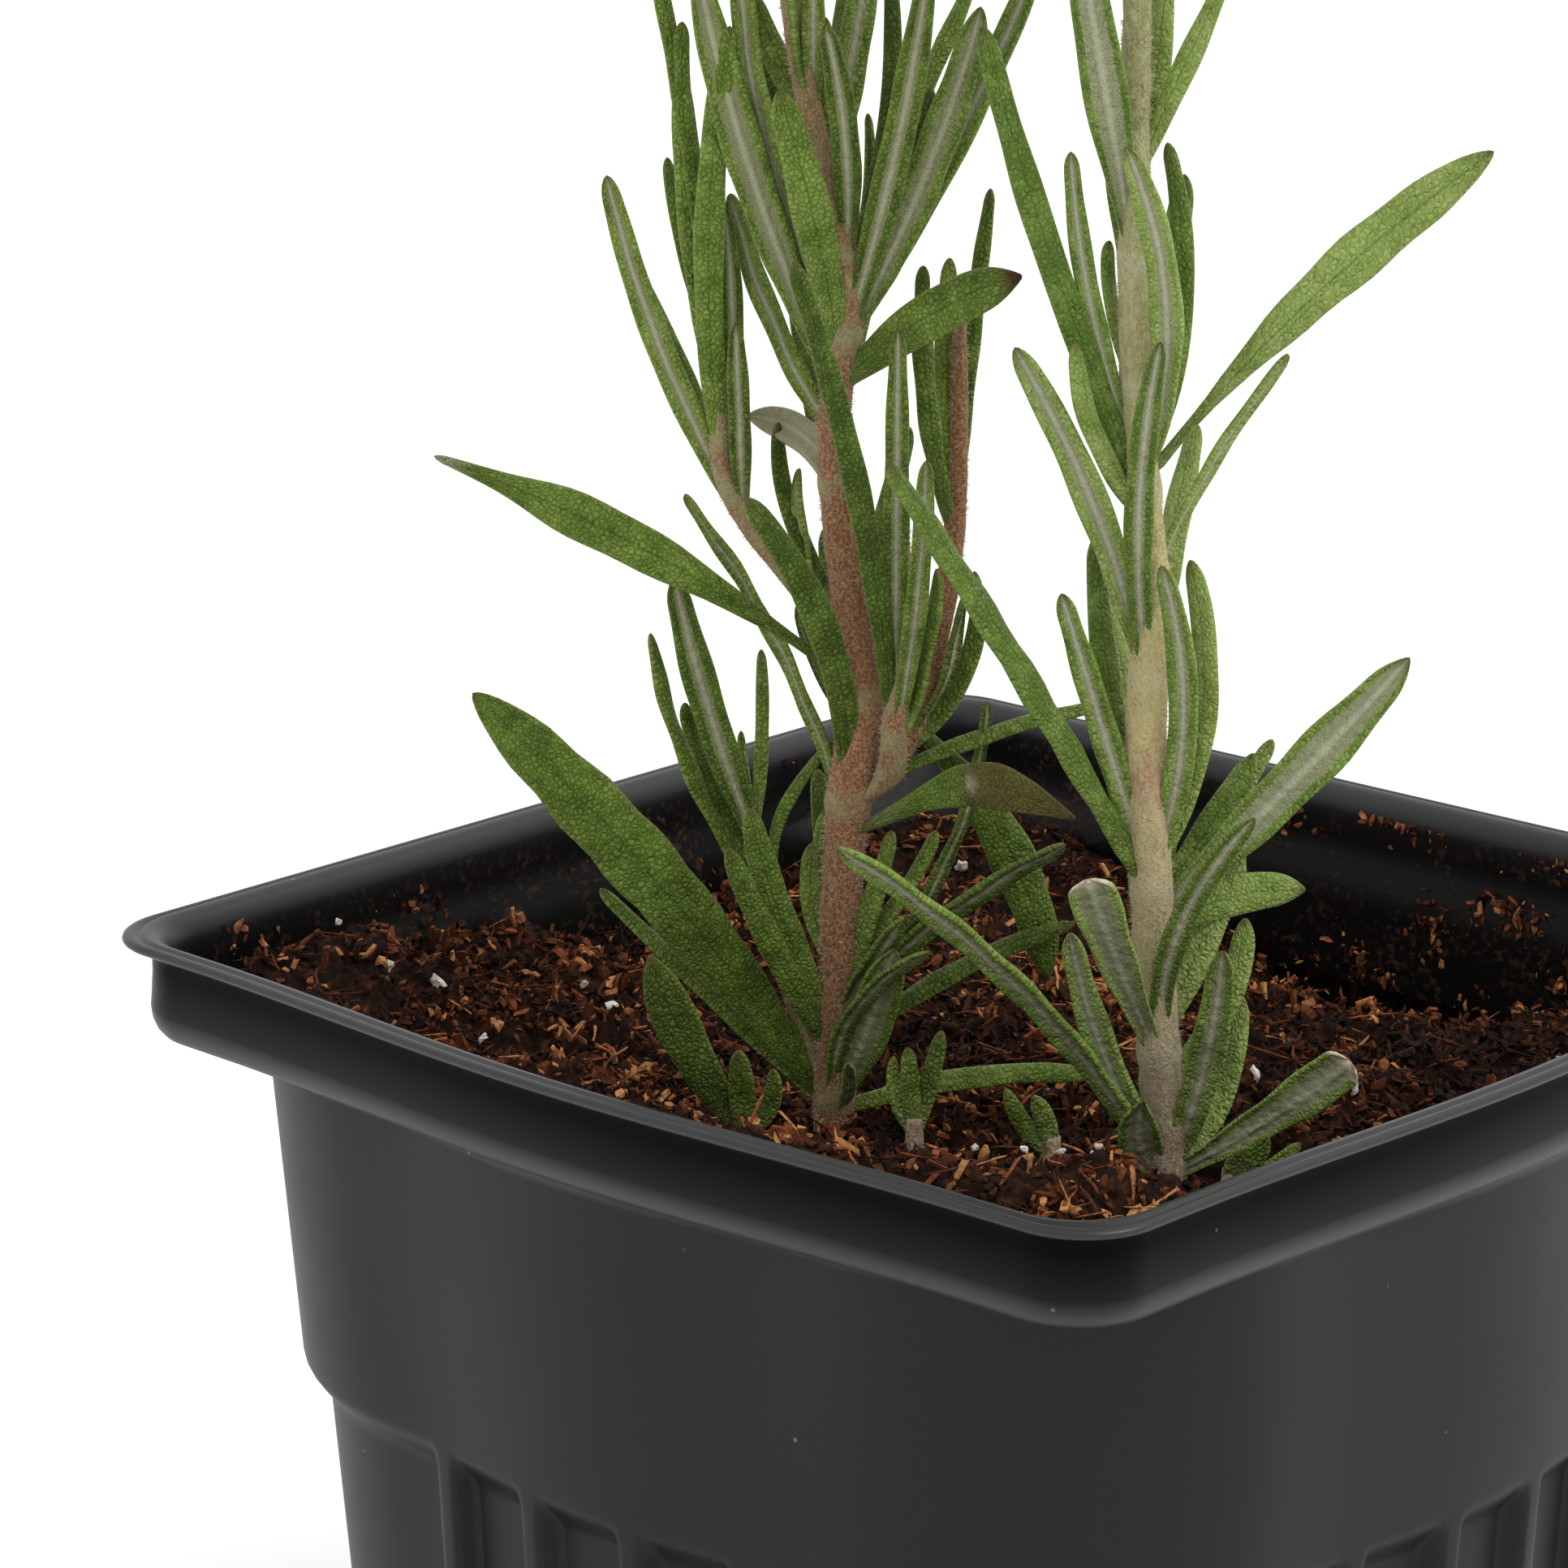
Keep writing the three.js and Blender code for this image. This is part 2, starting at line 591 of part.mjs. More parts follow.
function makePlant(plant) {
  const random = seededRandom(plant.seed);
  const { path, leaves } = plant.main;
  const mainLeaves = [...leaves, ...rearLeaves(random), ...crownLeaves(plant.crown, random)];
  const solids = [makeStem(path, plant.foot, mainStemSteps)];
  for (const leaf of mainLeaves) solids.push(makeLeaf(leaf, path, plant.foot));
  for (const shoot of plant.sides) {
    solids.push(makeStem(shoot.path, plant.foot, sideStemSteps));
    for (const leaf of shoot.leaves) solids.push(makeLeaf(leaf, shoot.path, plant.foot));
  }
  return wasm.Manifold.union(solids);
}

function makeSmallShoot(shoot) {
  const solids = [makeStem(smallStem, shoot.foot, smallStemSteps)];
  for (const leaf of shoot.leaves) solids.push(makeLeaf(leaf, smallStem, shoot.foot));
  return wasm.Manifold.union(solids);
}

// A plain hole in the soil round each stem
function drillFor(path, foot, solid) {
  const radius = Math.max(...path.filter(([up]) => up <= 0).map(([, , , r]) => r)) + clearance;
  const depth = -path[0][0] + clearance;
  const height = depth + 30;
  const drill = new THREE.CylinderGeometry(radius, radius, height, 10);
  const centre = layoutPoint(foot[0] + path[0][1], foot[1] + path[0][2], footHeight - depth + height / 2);
  drill.rotateX(Math.PI / 2).translate(centre.x, centre.y, centre.z);
  return solid.subtract(toSolid(drill));
}

const materials = {
  plastic: new THREE.MeshStandardMaterial({ color: 0x25272a, roughness: 0.45, metalness: 0 }),
  soil: new THREE.MeshStandardMaterial({ color: 0x3b241a, roughness: 1, metalness: 0 }),
  foliage: new THREE.MeshStandardMaterial({ color: 0x4f6b34, roughness: 0.7, metalness: 0 }),
};

const model = new THREE.Group();
model.add(toMesh('pot', makePot(), materials.plastic));
let soil = makeSoil();
for (const plant of plants) soil = drillFor(plant.main.path, plant.foot, soil);
for (const shoot of smallShoots) soil = drillFor(smallStem, shoot.foot, soil);
model.add(toMesh('soil', soil, materials.soil));
for (const plant of plants) model.add(toMesh(plant.name, makePlant(plant), materials.foliage));
for (const shoot of smallShoots) model.add(toMesh(shoot.name, makeSmallShoot(shoot), materials.foliage));

export default model;
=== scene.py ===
import math
import random
import time

import bmesh
import bpy
from mathutils import Euler, Matrix, Vector, noise


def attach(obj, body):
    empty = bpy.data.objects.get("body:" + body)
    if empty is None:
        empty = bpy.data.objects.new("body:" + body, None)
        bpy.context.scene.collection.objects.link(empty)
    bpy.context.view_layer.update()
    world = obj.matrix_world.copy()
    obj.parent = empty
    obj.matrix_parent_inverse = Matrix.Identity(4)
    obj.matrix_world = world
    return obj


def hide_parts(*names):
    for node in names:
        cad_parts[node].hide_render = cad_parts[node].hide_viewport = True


started = time.time()
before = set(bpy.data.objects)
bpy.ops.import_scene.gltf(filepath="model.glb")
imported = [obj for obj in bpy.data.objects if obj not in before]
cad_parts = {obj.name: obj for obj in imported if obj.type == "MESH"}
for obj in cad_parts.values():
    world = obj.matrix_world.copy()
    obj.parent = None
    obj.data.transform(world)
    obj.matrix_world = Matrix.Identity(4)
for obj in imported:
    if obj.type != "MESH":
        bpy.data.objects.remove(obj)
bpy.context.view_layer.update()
mm = 0.001

# Camera, fitted to the pot's corners in the picture
camera = {"lens": 123.3, "sensor": 36, "place": (256.33, -304.23, 212.63), "turn": (74.034, 0, 42.588)}
cameraData = bpy.data.cameras.new("camera")
cameraData.lens = camera["lens"]
cameraData.sensor_width = camera["sensor"]
cameraObject = bpy.data.objects.new("camera", cameraData)
cameraObject.location = Vector(camera["place"]) * mm
cameraObject.rotation_euler = [math.radians(angle) for angle in camera["turn"]]
bpy.context.scene.collection.objects.link(cameraObject)
bpy.context.scene.camera = cameraObject


def stageDone(what):
    print(what, "done after", round(time.time() - started, 1), "s")


def toLinear(hexColour):  # "#rrggbb" in sRGB to linear RGBA
    channels = [int(hexColour[i:i + 2], 16) / 255 for i in (1, 3, 5)]
    return [c / 12.92 if c <= 0.04045 else ((c + 0.055) / 1.055) ** 2.4 for c in channels] + [1]


def addNode(tree, kind, inputs=(), output=0, stops=(), **settings):
    # Inputs come in order, or by name or number: each a number, a hex colour or another node's output.
    # A Math node adds and a Map Range runs from 0 to 1 where nothing else is said.
    node = tree.nodes.new("ShaderNode" + kind)
    for name, value in settings.items():
        setattr(node, name, value)
    for socket, value in inputs.items() if isinstance(inputs, dict) else enumerate(inputs):
        if isinstance(value, bpy.types.NodeSocket):
            tree.links.new(value, node.inputs[socket])
        else:
            node.inputs[socket].default_value = toLinear(value) if isinstance(value, str) else value
    if stops:  # a ramp's places and hex colours
        elements = node.color_ramp.elements
        while len(elements) < len(stops):
            elements.new(0.5)
        for element, (place, colour) in zip(elements, stops):
            element.position = place
            element.color = toLinear(colour)
    return node.outputs[output] if node.outputs else node


def addSteps(tree, value, start, steps):  # a value that changes by so much between each low and high
    total = addNode(tree, "Value")
    total.default_value = start
    for low, high, change in steps:
        part = addNode(tree, "MapRange", (value, low, high, 0, change))
        total = addNode(tree, "Math", (total, part))
    return total


def layColours(tree, colour, layers):
    # Each layer has a value that says where it lies, its limits and the shares at them, and its colour
    for value, *limits, over in layers:
        share = addNode(tree, "MapRange", (value, *limits)) if limits else value
        colour = addNode(tree, "Mix", {0: share, 6: colour, 7: over}, 2, data_type="RGBA")
    return colour


def layBumps(tree, bumps):  # one on another: what says how high, the height in metres and the strength
    under = {}
    for height, distance, strength in bumps:
        inputs = {"Height": height, "Distance": distance, "Strength": strength, **under}
        under = {"Normal": addNode(tree, "Bump", inputs)}
    return under["Normal"]


def newMaterial(name):
    material = bpy.data.materials.new(name)
    material.use_nodes = True
    material.node_tree.nodes.clear()
    return material, material.node_tree


def finishMaterial(material, inputs):
    shader = addNode(material.node_tree, "BsdfPrincipled", inputs)
    addNode(material.node_tree, "OutputMaterial", {"Surface": shader})
    return material


def newObject(bm, name, materials=()):
    mesh = bpy.data.meshes.new(name)
    bm.to_mesh(mesh)
    bm.free()
    for material in materials:
        mesh.materials.append(material)
    thing = bpy.data.objects.new(name, mesh)
    bpy.context.scene.collection.objects.link(thing)
    return thing


def finishPiece(bm, name, materials, nodes, smooth=True):
    piece = newObject(bm, name, materials)
    if smooth:
        piece.data.shade_smooth()
    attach(piece, "root")
    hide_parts(*nodes)
    triangles = sum(len(p.vertices) - 2 for p in piece.data.polygons)
    stageDone(name + " with " + str(triangles) + " triangles")
    return piece


def smoothStep(low, high, value):
    t = min(max((value - low) / (high - low), 0), 1)
    return t * t * (3 - 2 * t)


def copyShape(bm, count):  # copies the one shape in bm until there are count, and gives each one's points
    groups = [list(bm.verts)]
    while len(groups) < count:
        chosen = groups[:count - len(groups)]
        verts = [v for group in chosen for v in group]
        edges = list(dict.fromkeys(e for v in verts for e in v.link_edges))
        faces = list(dict.fromkeys(f for v in verts for f in v.link_faces))
        copies = bmesh.ops.duplicate(bm, geom=verts + edges + faces)["vert_map"]
        groups += [[copies[v] for v in group] for group in chosen]
    return groups


# Light: an even white surround, and a wide soft lamp high on the right
light = {
    "surround": 1.0, "lampFrom": (0.57, 0.20, 0.80), "lampStrength": 1.15, "lampWidth": 36,
    "lampColour": "#fffdf8", "floorTone": "#fbfbfb", "floorSize": 4000,
}


def makeLight():
    world = bpy.data.worlds.new("studio")
    bpy.context.scene.world = world
    world.use_nodes = True
    world.node_tree.nodes.clear()
    shine = addNode(world.node_tree, "Background", {"Color": "#ffffff", "Strength": light["surround"]})
    addNode(world.node_tree, "OutputWorld", {"Surface": shine})
    lamp = bpy.data.lights.new("softLamp", "SUN")
    lamp.energy = light["lampStrength"]
    lamp.angle = math.radians(light["lampWidth"])
    lamp.color = toLinear(light["lampColour"])[:3]
    lampObject = bpy.data.objects.new("softLamp", lamp)
    lampObject.rotation_euler = Vector(light["lampFrom"]).to_track_quat("Z", "Y").to_euler()
    bpy.context.scene.collection.objects.link(lampObject)


def makeFloor():
    bm = bmesh.new()
    bmesh.ops.create_grid(bm, x_segments=1, y_segments=1, size=light["floorSize"] / 2 * mm)
    material, _ = newMaterial("paintedFloor")
    finishMaterial(material, {"Base Color": light["floorTone"], "Roughness": 0.9,
                              "Specular IOR Level": 0.1})
    floor = newObject(bm, "floor", [material])


makeLight()
makeFloor()
bpy.context.scene.view_settings.view_transform = "Standard"
stageDone("camera, light and floor")

# Pot, in millimetres. Its two front sides swell a little because it is full.
pot = {
    "height": 88, "lipHalf": 50, "lipThickness": 0.8, "lipCorner": 6, "bandHalf": 48.4,
    "bandBottom": 80.5, "bodyHalf": 47.5, "bodyCorner": 24, "taper": 3.3, "wall": 1.2, "floor": 1.6,
    "bulge": 2.08, "cornerSteps": 16, "drainRadius": 4, "drainPlace": 24,
    # ribs: where they end, how deep the wall steps in between them, and their places along a side
    "fluteTop": 52.5, "fluteDepth": 1.8, "flutePitch": 10.2, "fluteHalf": 3.75, "fluteEdge": 1.3,
    "cornerFlute": 16.65, "fadeFrom": -1.7, "fadeStep": 0.34, "fadeSteps": 10,
    # foot, and where the mesh has its points along a side and its rings up the wall
    "footRise": 1.6, "footInset": 2, "soleInset": 3, "capInset": 14, "sideMarks": (1.9, 19.5),
    "ribRings": (8, 20, 35, 45), "wallRings": (60, 68, 75, 79, 79.7), "innerRings": (78, 72, 66),
    # shoulder and band: height and how far out from the band
    "shoulderFrom": 79.9, "shoulderRise": 2.3, "shoulderInset": 0.85, "bandRings": [(83, 0.1), (85, 0)],
    # lip: the turn under it, its round edge, the groove on top, and the bend into the pot
    "underLip": [(0.9, 0), (0.45, 0.1), (0.12, 0.35)], "lipTurn": 0.7, "edgeRise": 0.38, "edgeReach": 0.42,
    "groove": [(0.04, 49.4), (0.2, 49.2), (0.2, 49.05), (0, 48.85), (0, 48.7)],
    "throatDrop": 2.4, "throatReach": 1.5, "throatEnd": 84, "ledge": 82.2, "ledgeEnd": 80.7,
}
straightEnd = pot["bodyHalf"] - pot["bodyCorner"]


def potPlaces():  # once round: side 0 to 3 with a place along it, or the share of the corner after it
    pitch, half, edge, steps = pot["flutePitch"], pot["fluteHalf"], pot["fluteEdge"], pot["cornerSteps"]
    marks = [0, *pot["sideMarks"], pitch - edge, pitch + edge, straightEnd]
    for middle in (half, pitch - half, pitch + half, pot["cornerFlute"]):  # closer across a rib's edge
        marks += [middle + edge * share for share in (-0.7, -0.4, -0.15, 0.15, 0.4, 0.7)]
    marks = sorted(marks)
    alongs = [-m for m in reversed(marks[1:])] + marks
    places = []
    for side in range(4):
        places += [(side, along, None) for along in alongs]
        places += [(side, None, k / steps) for k in range(1, steps)]
    return places


def stepIn(along):  # 1 where the lower wall is stepped in, 0 on its ribs
    a, half, bend = abs(along), pot["fluteHalf"], pot["fluteEdge"] / 2
    inside = smoothStep(half + bend, half - bend, a)
    inside += smoothStep(half + bend, half - bend, abs(a - pot["flutePitch"]))
    return min(inside + smoothStep(pot["cornerFlute"] - bend, pot["cornerFlute"] + bend, a), 1)


def squarePoint(place, half, corner, z, depth=0.0, spread=False):
    side, along, turn = place
    straight = half - corner
    if turn is None:
        share = along / straightEnd
        swell = (pot["bulge"] if side < 2 else 0) * math.cos(share * math.pi / 2) ** 2
        x = share * straight if spread or abs(along) == straightEnd else along
        y = -(half + swell - depth * stepIn(along))
    else:
        angle = turn * math.pi / 2
        x = straight + (corner - depth) * math.sin(angle)
        y = -straight - (corner - depth) * math.cos(angle)
    turned = ((x, y), (-y, x), (-x, -y), (y, -x))[side]
    return Vector((*turned, z))


def bodyHalfAt(z):
    return pot["bodyHalf"] - (pot["bandBottom"] - z) * math.tan(math.radians(pot["taper"]))


def bodyRing(z, depth, inset=0.0):
    return lambda place: squarePoint(place, bodyHalfAt(z) - inset, pot["bodyCorner"] - inset, z, depth)


def bandRing(z, half, corner=pot["lipCorner"]):
    return lambda place: squarePoint(place, half, corner, z, 0, True)


def potRings():  # up the outside, over the lip and down the inside, each ring with its finish
    height, band, wall, top = pot["height"], pot["bandHalf"], pot["wall"], pot["fluteTop"]
    depth, inner, under = pot["fluteDepth"], band - wall, height - pot["lipThickness"]
    rise, inset, steps = pot["footRise"], pot["footInset"], pot["fadeSteps"]
    quarter = [k * math.pi / 8 for k in range(5)]
    halfTurn = [k * math.pi / 6 for k in range(1, 7)]
    outside = [bodyRing(0, depth, pot["capInset"]), bodyRing(0, depth, pot["soleInset"])]
    outside += [bodyRing(rise - rise * math.cos(a), depth, inset - inset * math.sin(a)) for a in quarter]
    outside += [bodyRing(z, depth) for z in (*pot["ribRings"], top - 2.2)]
    outside += [bodyRing(top + pot["fadeFrom"] + pot["fadeStep"] * k, depth * smoothStep(steps, 0, k))
                for k in range(steps + 1)]
    outside += [bodyRing(z, 0) for z in (top + 2.6, *pot["wallRings"])]
    outside += [bandRing(pot["shoulderFrom"] + pot["shoulderRise"] * (1 - math.cos(a)),
                         band - pot["shoulderInset"] + math.sin(a)) for a in quarter]
    outside += [bandRing(z, band + out) for z, out in pot["bandRings"]]
    outside += [bandRing(under - drop, band + out) for drop, out in pot["underLip"]]
    rise, reach = pot["edgeRise"], pot["edgeReach"]
    lip = [bandRing(under, band + pot["lipTurn"]), bandRing(under, pot["lipHalf"] - 0.45)]
    lip += [bandRing(under + rise - rise * math.cos(a), pot["lipHalf"] - reach + reach * math.sin(a))
            for a in halfTurn]
    lip += [bandRing(height - drop, half) for drop, half in pot["groove"]]
    drop, reach = pot["throatDrop"], pot["throatReach"]
    lip += [bandRing(height - drop + drop * math.cos(a), inner + reach - reach * math.sin(a))
            for a in [k * math.pi / 16 for k in range(1, 9)]]
    inside = [bandRing(pot["throatEnd"], inner), bandRing(pot["ledge"], inner, pot["lipCorner"] - 0.6)]
    inside += [bodyRing(z, 0, wall) for z in (pot["ledgeEnd"], *pot["innerRings"], top + 1.2 + wall)]
    inside += [bodyRing(top, depth * 0.75, wall), bodyRing(top - 1.2, depth, wall)]
    inside += [bodyRing(30, depth, wall), bodyRing(pot["floor"], depth, wall + 1)]
    inside += [bodyRing(pot["floor"], depth, pot["capInset"])]
    return [(0, ring) for ring in outside] + [(1, ring) for ring in lip + inside]


def makePot(materials):
    places = potPlaces()
    bm = bmesh.new()
    bmesh.ops.create_circle(bm, cap_ends=True, radius=1, segments=len(places))
    loop = list(bm.verts)
    edges = [bm.edges.get((loop[i - 1], loop[i])) for i in range(len(loop))]
    for number, (finish, ring) in enumerate(potRings()):
        if number:
            grown = bmesh.ops.extrude_edge_only(bm, edges=edges)["geom"]
            edges = [e for e in grown if isinstance(e, bmesh.types.BMEdge)]
            fresh = {v for v in grown if isinstance(v, bmesh.types.BMVert)}
            loop = [next(e.other_vert(v) for e in v.link_edges if e.other_vert(v) in fresh) for v in loop]
            for face in (f for f in grown if isinstance(f, bmesh.types.BMFace)):
                face.material_index = finish
        for vert, place in zip(loop, places):
            vert.co = ring(place) * mm
    bmesh.ops.contextual_create(bm, geom=edges)
    bmesh.ops.recalc_face_normals(bm, faces=bm.faces)
    piece = finishPiece(bm, "square_pot", materials, ["pot"])
    drillDrains(piece)


def drillDrains(piece):  # four round holes through the floor
    bm = bmesh.new()
    for x in (-pot["drainPlace"], pot["drainPlace"]):
        for y in (-pot["drainPlace"], pot["drainPlace"]):
            place = Matrix.Translation(Vector((x, y, 0)) * mm)
            bmesh.ops.create_cone(bm, cap_ends=True, segments=32, radius1=pot["drainRadius"] * mm,
                                  radius2=pot["drainRadius"] * mm, depth=8 * mm, matrix=place)
    drills = newObject(bm, "drills")
    cut = piece.modifiers.new("drains", "BOOLEAN")
    cut.object = drills
    cut.solver = "EXACT"
    depsgraph = bpy.context.evaluated_depsgraph_get()
    piece.data = bpy.data.meshes.new_from_object(piece.evaluated_get(depsgraph))
    piece.modifiers.clear()
    bpy.data.objects.remove(drills)


# Moulded polypropylene, frosted outside by its mould, and dusty from the potting
plastic = {
    "frostedBlack": "#101216", "glossBlack": "#08080b", "rimBlack": "#141518", "innerBlack": "#0c0c0c",
    "dust": "#857a70", "peatFilm": "#4a2e1e", "outsideRough": 0.43, "outsideShine": 0.235,
    "rimShine": 0.14,
    # to a metre: specks 3 mm apart, a grain of 0.3 mm as the mould leaves, and a film in 6 mm patches
    "speckScale": 330, "grainScale": 3200, "filmScale": 160,
    # where the shine changes as the height goes from low to high, and by how much
    "shoulderShine": [(79.2, 80.3, 0.5), (80.4, 82.2, -0.6), (82.2, 85.6, -0.105)],
    "bandFrom": 80.6, "bandTo": 84, "throatShine": [(82.5, 86, 0.16), (86, 87.9, 0.28)],
}


def plasticDust(tree, place, amount):  # specks of dust, as a mask
    specks = addNode(tree, "TexVoronoi", {"Vector": place, "Scale": plastic["speckScale"]})
    chosen = addNode(tree, "SeparateColor", [specks.node.outputs["Color"]])
    spot = addNode(tree, "MapRange", (specks, 0.07, 0.035))
    kept = addNode(tree, "MapRange", (chosen, 0.8, 0.82, 0, amount))
    return addNode(tree, "Math", (spot, kept), operation="MULTIPLY")


def heightOf(tree, place):  # in millimetres above the pot's foot
    z = addNode(tree, "SeparateXYZ", [place], "Z")
    return addNode(tree, "Math", (z, 1000), operation="MULTIPLY")


def outsidePlastic():  # frosted body, brighter along the shoulder, and a darker glossy band
    material, tree = newMaterial("outsidePolypropylene")
    place = addNode(tree, "TexCoord", output="Object")
    z = heightOf(tree, place)
    dots = plasticDust(tree, place, 0.6)
    patches = addNode(tree, "TexNoise", {"Vector": place, "Scale": 45, "Detail": 2})  # 22 mm
    grain = addNode(tree, "TexNoise", {"Vector": place, "Scale": plastic["grainScale"], "Detail": 2})
    low, high = plastic["bandFrom"], plastic["bandTo"]
    rough = addSteps(tree, z, plastic["outsideRough"], [(low, high, -0.12)])
    patchy = addNode(tree, "MapRange", (patches, 0.3, 0.7, -0.02, 0.06))
    layers = [(z, low, high, plastic["glossBlack"]), (dots, plastic["dust"])]
    return finishMaterial(material, {
        "Base Color": layColours(tree, plastic["frostedBlack"], layers),
        "Specular IOR Level": addSteps(tree, z, plastic["outsideShine"], plastic["shoulderShine"]),
        "Roughness": addNode(tree, "Math", (rough, patchy)),
        "Normal": layBumps(tree, [(dots, 0.00005, 0.8), (grain, 0.00002, 0.3)]),
    })


def insidePlastic():  # the rim, and below it the inner walls with a film of peat dust
    material, tree = newMaterial("insidePolypropylene")
    place = addNode(tree, "TexCoord", output="Object")
    z = heightOf(tree, place)
    dots = plasticDust(tree, place, 0.9)
    film = {"Vector": place, "Scale": plastic["filmScale"], "Detail": 5, "Roughness": 0.7}
    film = addNode(tree, "MapRange", (addNode(tree, "TexNoise", film), 0.46, 0.7))
    bits = addNode(tree, "TexNoise", {"Vector": place, "Scale": 1500, "Detail": 2})  # 0.7 mm
    bits = addNode(tree, "MapRange", (bits, 0.5, 0.66))
    below = addNode(tree, "MapRange", (z, 87.2, 84))
    dusty = addNode(tree, "Math", (film, bits), operation="MULTIPLY")
    dusty = addNode(tree, "Math", (dusty, below), operation="MULTIPLY")
    layers = [(below, plastic["innerBlack"]), (dusty, plastic["peatFilm"]), (dots, plastic["dust"])]
    return finishMaterial(material, {
        "Base Color": layColours(tree, plastic["rimBlack"], layers),
        "Specular IOR Level": addSteps(tree, z, plastic["rimShine"], plastic["throatShine"]),
        "Roughness": addNode(tree, "MapRange", (dusty, 0, 1, 0.38, 0.9)),
        "Normal": layBumps(tree, [(dots, 0.00005, 0.8), (dusty, 0.00008, 0.7)]),
    })


makePot([outsidePlastic(), insidePlastic()])

# Soil, to the top of its clods and down inside the pot
soil = {
    "clearance": 0.3, "level": 76, "lump": 0.7, "cells": 260, "quickCells": 120,
    "mounds": [
        (0, -47, 11, 60, 8), (24, -40, 3, 12, 8), (39, -34, 10, 13, 11), (23, -11, -3, 8, 8),
        (-46, -34, 9.5, 12, 15), (-46, -12, 3, 10, 8), (-40, 42, 4, 14, 14), (5, 47, -11, 16, 11.5),
        (44, 40, 4, 14, 16),
    ],
    "relief": [(0.16, 1.0), (0.42, 1.4), (1.0, 1.0)],
    # a heap spills on to the ledge in the pot's corner where it is this high, and lies on the ledge there
    "spillFrom": 82.5, "spillFull": 87, "ledge": 83, "spillGap": 8, "spillReach": 0.8,
    # shares of the way from the middle to the wall, and of a square's side that is straight in the pot
    "wallShare": 0.995, "spillShares": (0.8, 0.985), "sinkShares": (0.9, 0.99), "calmShares": (1, 0.97),
    "straightShare": 0.62,
    "damp": "#0f0805", "peat": "#28150d", "bark": "#482817",
}


def soilHeight(x, y):
    height = soil["level"]
    for cx, cy, rise, wide, deep in soil["mounds"]:
        height += rise * math.exp(-((x - cx) / wide) ** 2 - ((y - cy) / deep) ** 2)
    lump = math.sin(x * 0.55 + 1.3 * math.sin(y * 0.3)) * math.sin(y * 0.6 + math.sin(x * 0.37))
    return height + soil["lump"] * lump


def soilRelief(x, y):
    return sum(size * noise.noise(Vector((x * step, y * step, 3.1 + step)))
               for step, size in soil["relief"])


def squarePlace(x, y):  # a place of the pot's round for a point on a plain square's edge
    straight = soil["straightShare"]
    if abs(y) >= abs(x):
        side, a = (0, x / abs(y)) if y < 0 else (2, -x / abs(y))
    else:
        side, a = (1, y / abs(x)) if x > 0 else (3, -y / abs(x))
    if abs(a) <= straight:
        return side, a / straight * straightEnd, None
    turn = (abs(a) - straight) / (1 - straight) / 2
    return (side, None, turn) if a > 0 else ((side + 3) % 4, None, 1 - turn)


def soilSurface(x, y):  # a point of the soil's top for a place on a plain square of half side 1
    share = max(abs(x), abs(y))
    inset = pot["wall"] + soil["clearance"]
    if share < 1e-6:
        return Vector((0, 0, soilHeight(0, 0)))
    place = squarePlace(x, y)
    p = squarePoint(place, pot["bodyHalf"] - inset, pot["bodyCorner"] - inset, 0)
    if share > soil["wallShare"]:
        z = min(soilHeight(p.x, p.y), pot["bandBottom"] + 1.2)
        return squarePoint(place, bodyHalfAt(z) - inset, pot["bodyCorner"] - inset, z)
    height = min(soilHeight(p.x * share, p.y * share), pot["height"] + 0.5)
    ledge = squarePoint(place, pot["bandHalf"] - pot["wall"] - 0.5, pot["lipCorner"], 0, 0, True)
    gap = (ledge - p).length / soil["spillGap"]
    spilt = smoothStep(soil["spillFrom"], soil["spillFull"], height) * min(gap, 1)
    p = (p * share).lerp(ledge, soil["spillReach"] * spilt * smoothStep(*soil["spillShares"], share))
    height -= (height - soil["ledge"]) * spilt * smoothStep(*soil["sinkShares"], share)
    rough = soilRelief(p.x, p.y) * smoothStep(*soil["calmShares"], share)
    return Vector((p.x, p.y, height + rough))


def makeSoil(material):
    bm = bmesh.new()
    cells = soil["cells"]
    bmesh.ops.create_grid(bm, x_segments=cells, y_segments=cells, size=1)
    places = {}
    for vert in bm.verts:
        if vert.is_boundary:
            places[vert] = squarePlace(vert.co.x, vert.co.y)
        vert.co = soilSurface(vert.co.x, vert.co.y) * mm
    edges = [e for e in bm.edges if e.is_boundary]
    inset, low = pot["wall"] + soil["clearance"], pot["floor"] + soil["clearance"]
    down = [(72, 0), (pot["fluteTop"] + 3.2, 0), (pot["fluteTop"] + 1, pot["fluteDepth"])]
    down += [(low, pot["fluteDepth"] + 1), (low, 22)]  # height, and how much further in
    for z, more in down:
        grown = bmesh.ops.extrude_edge_only(bm, edges=edges)["geom"]
        edges = [e for e in grown if isinstance(e, bmesh.types.BMEdge)]
        fresh = [v for v in grown if isinstance(v, bmesh.types.BMVert)]
        lower = {}
        for vert in fresh:
            above = next(e.other_vert(vert) for e in vert.link_edges if e.other_vert(vert) in places)
            lower[vert] = places[above]
            vert.co = squarePoint(places[above], bodyHalfAt(z) - inset - more,
                                  pot["bodyCorner"] - inset - more, z) * mm
        places = lower
    bmesh.ops.contextual_create(bm, geom=edges)
    bmesh.ops.recalc_face_normals(bm, faces=bm.faces)
    finishPiece(bm, "soil_body", [material], ["soil"])


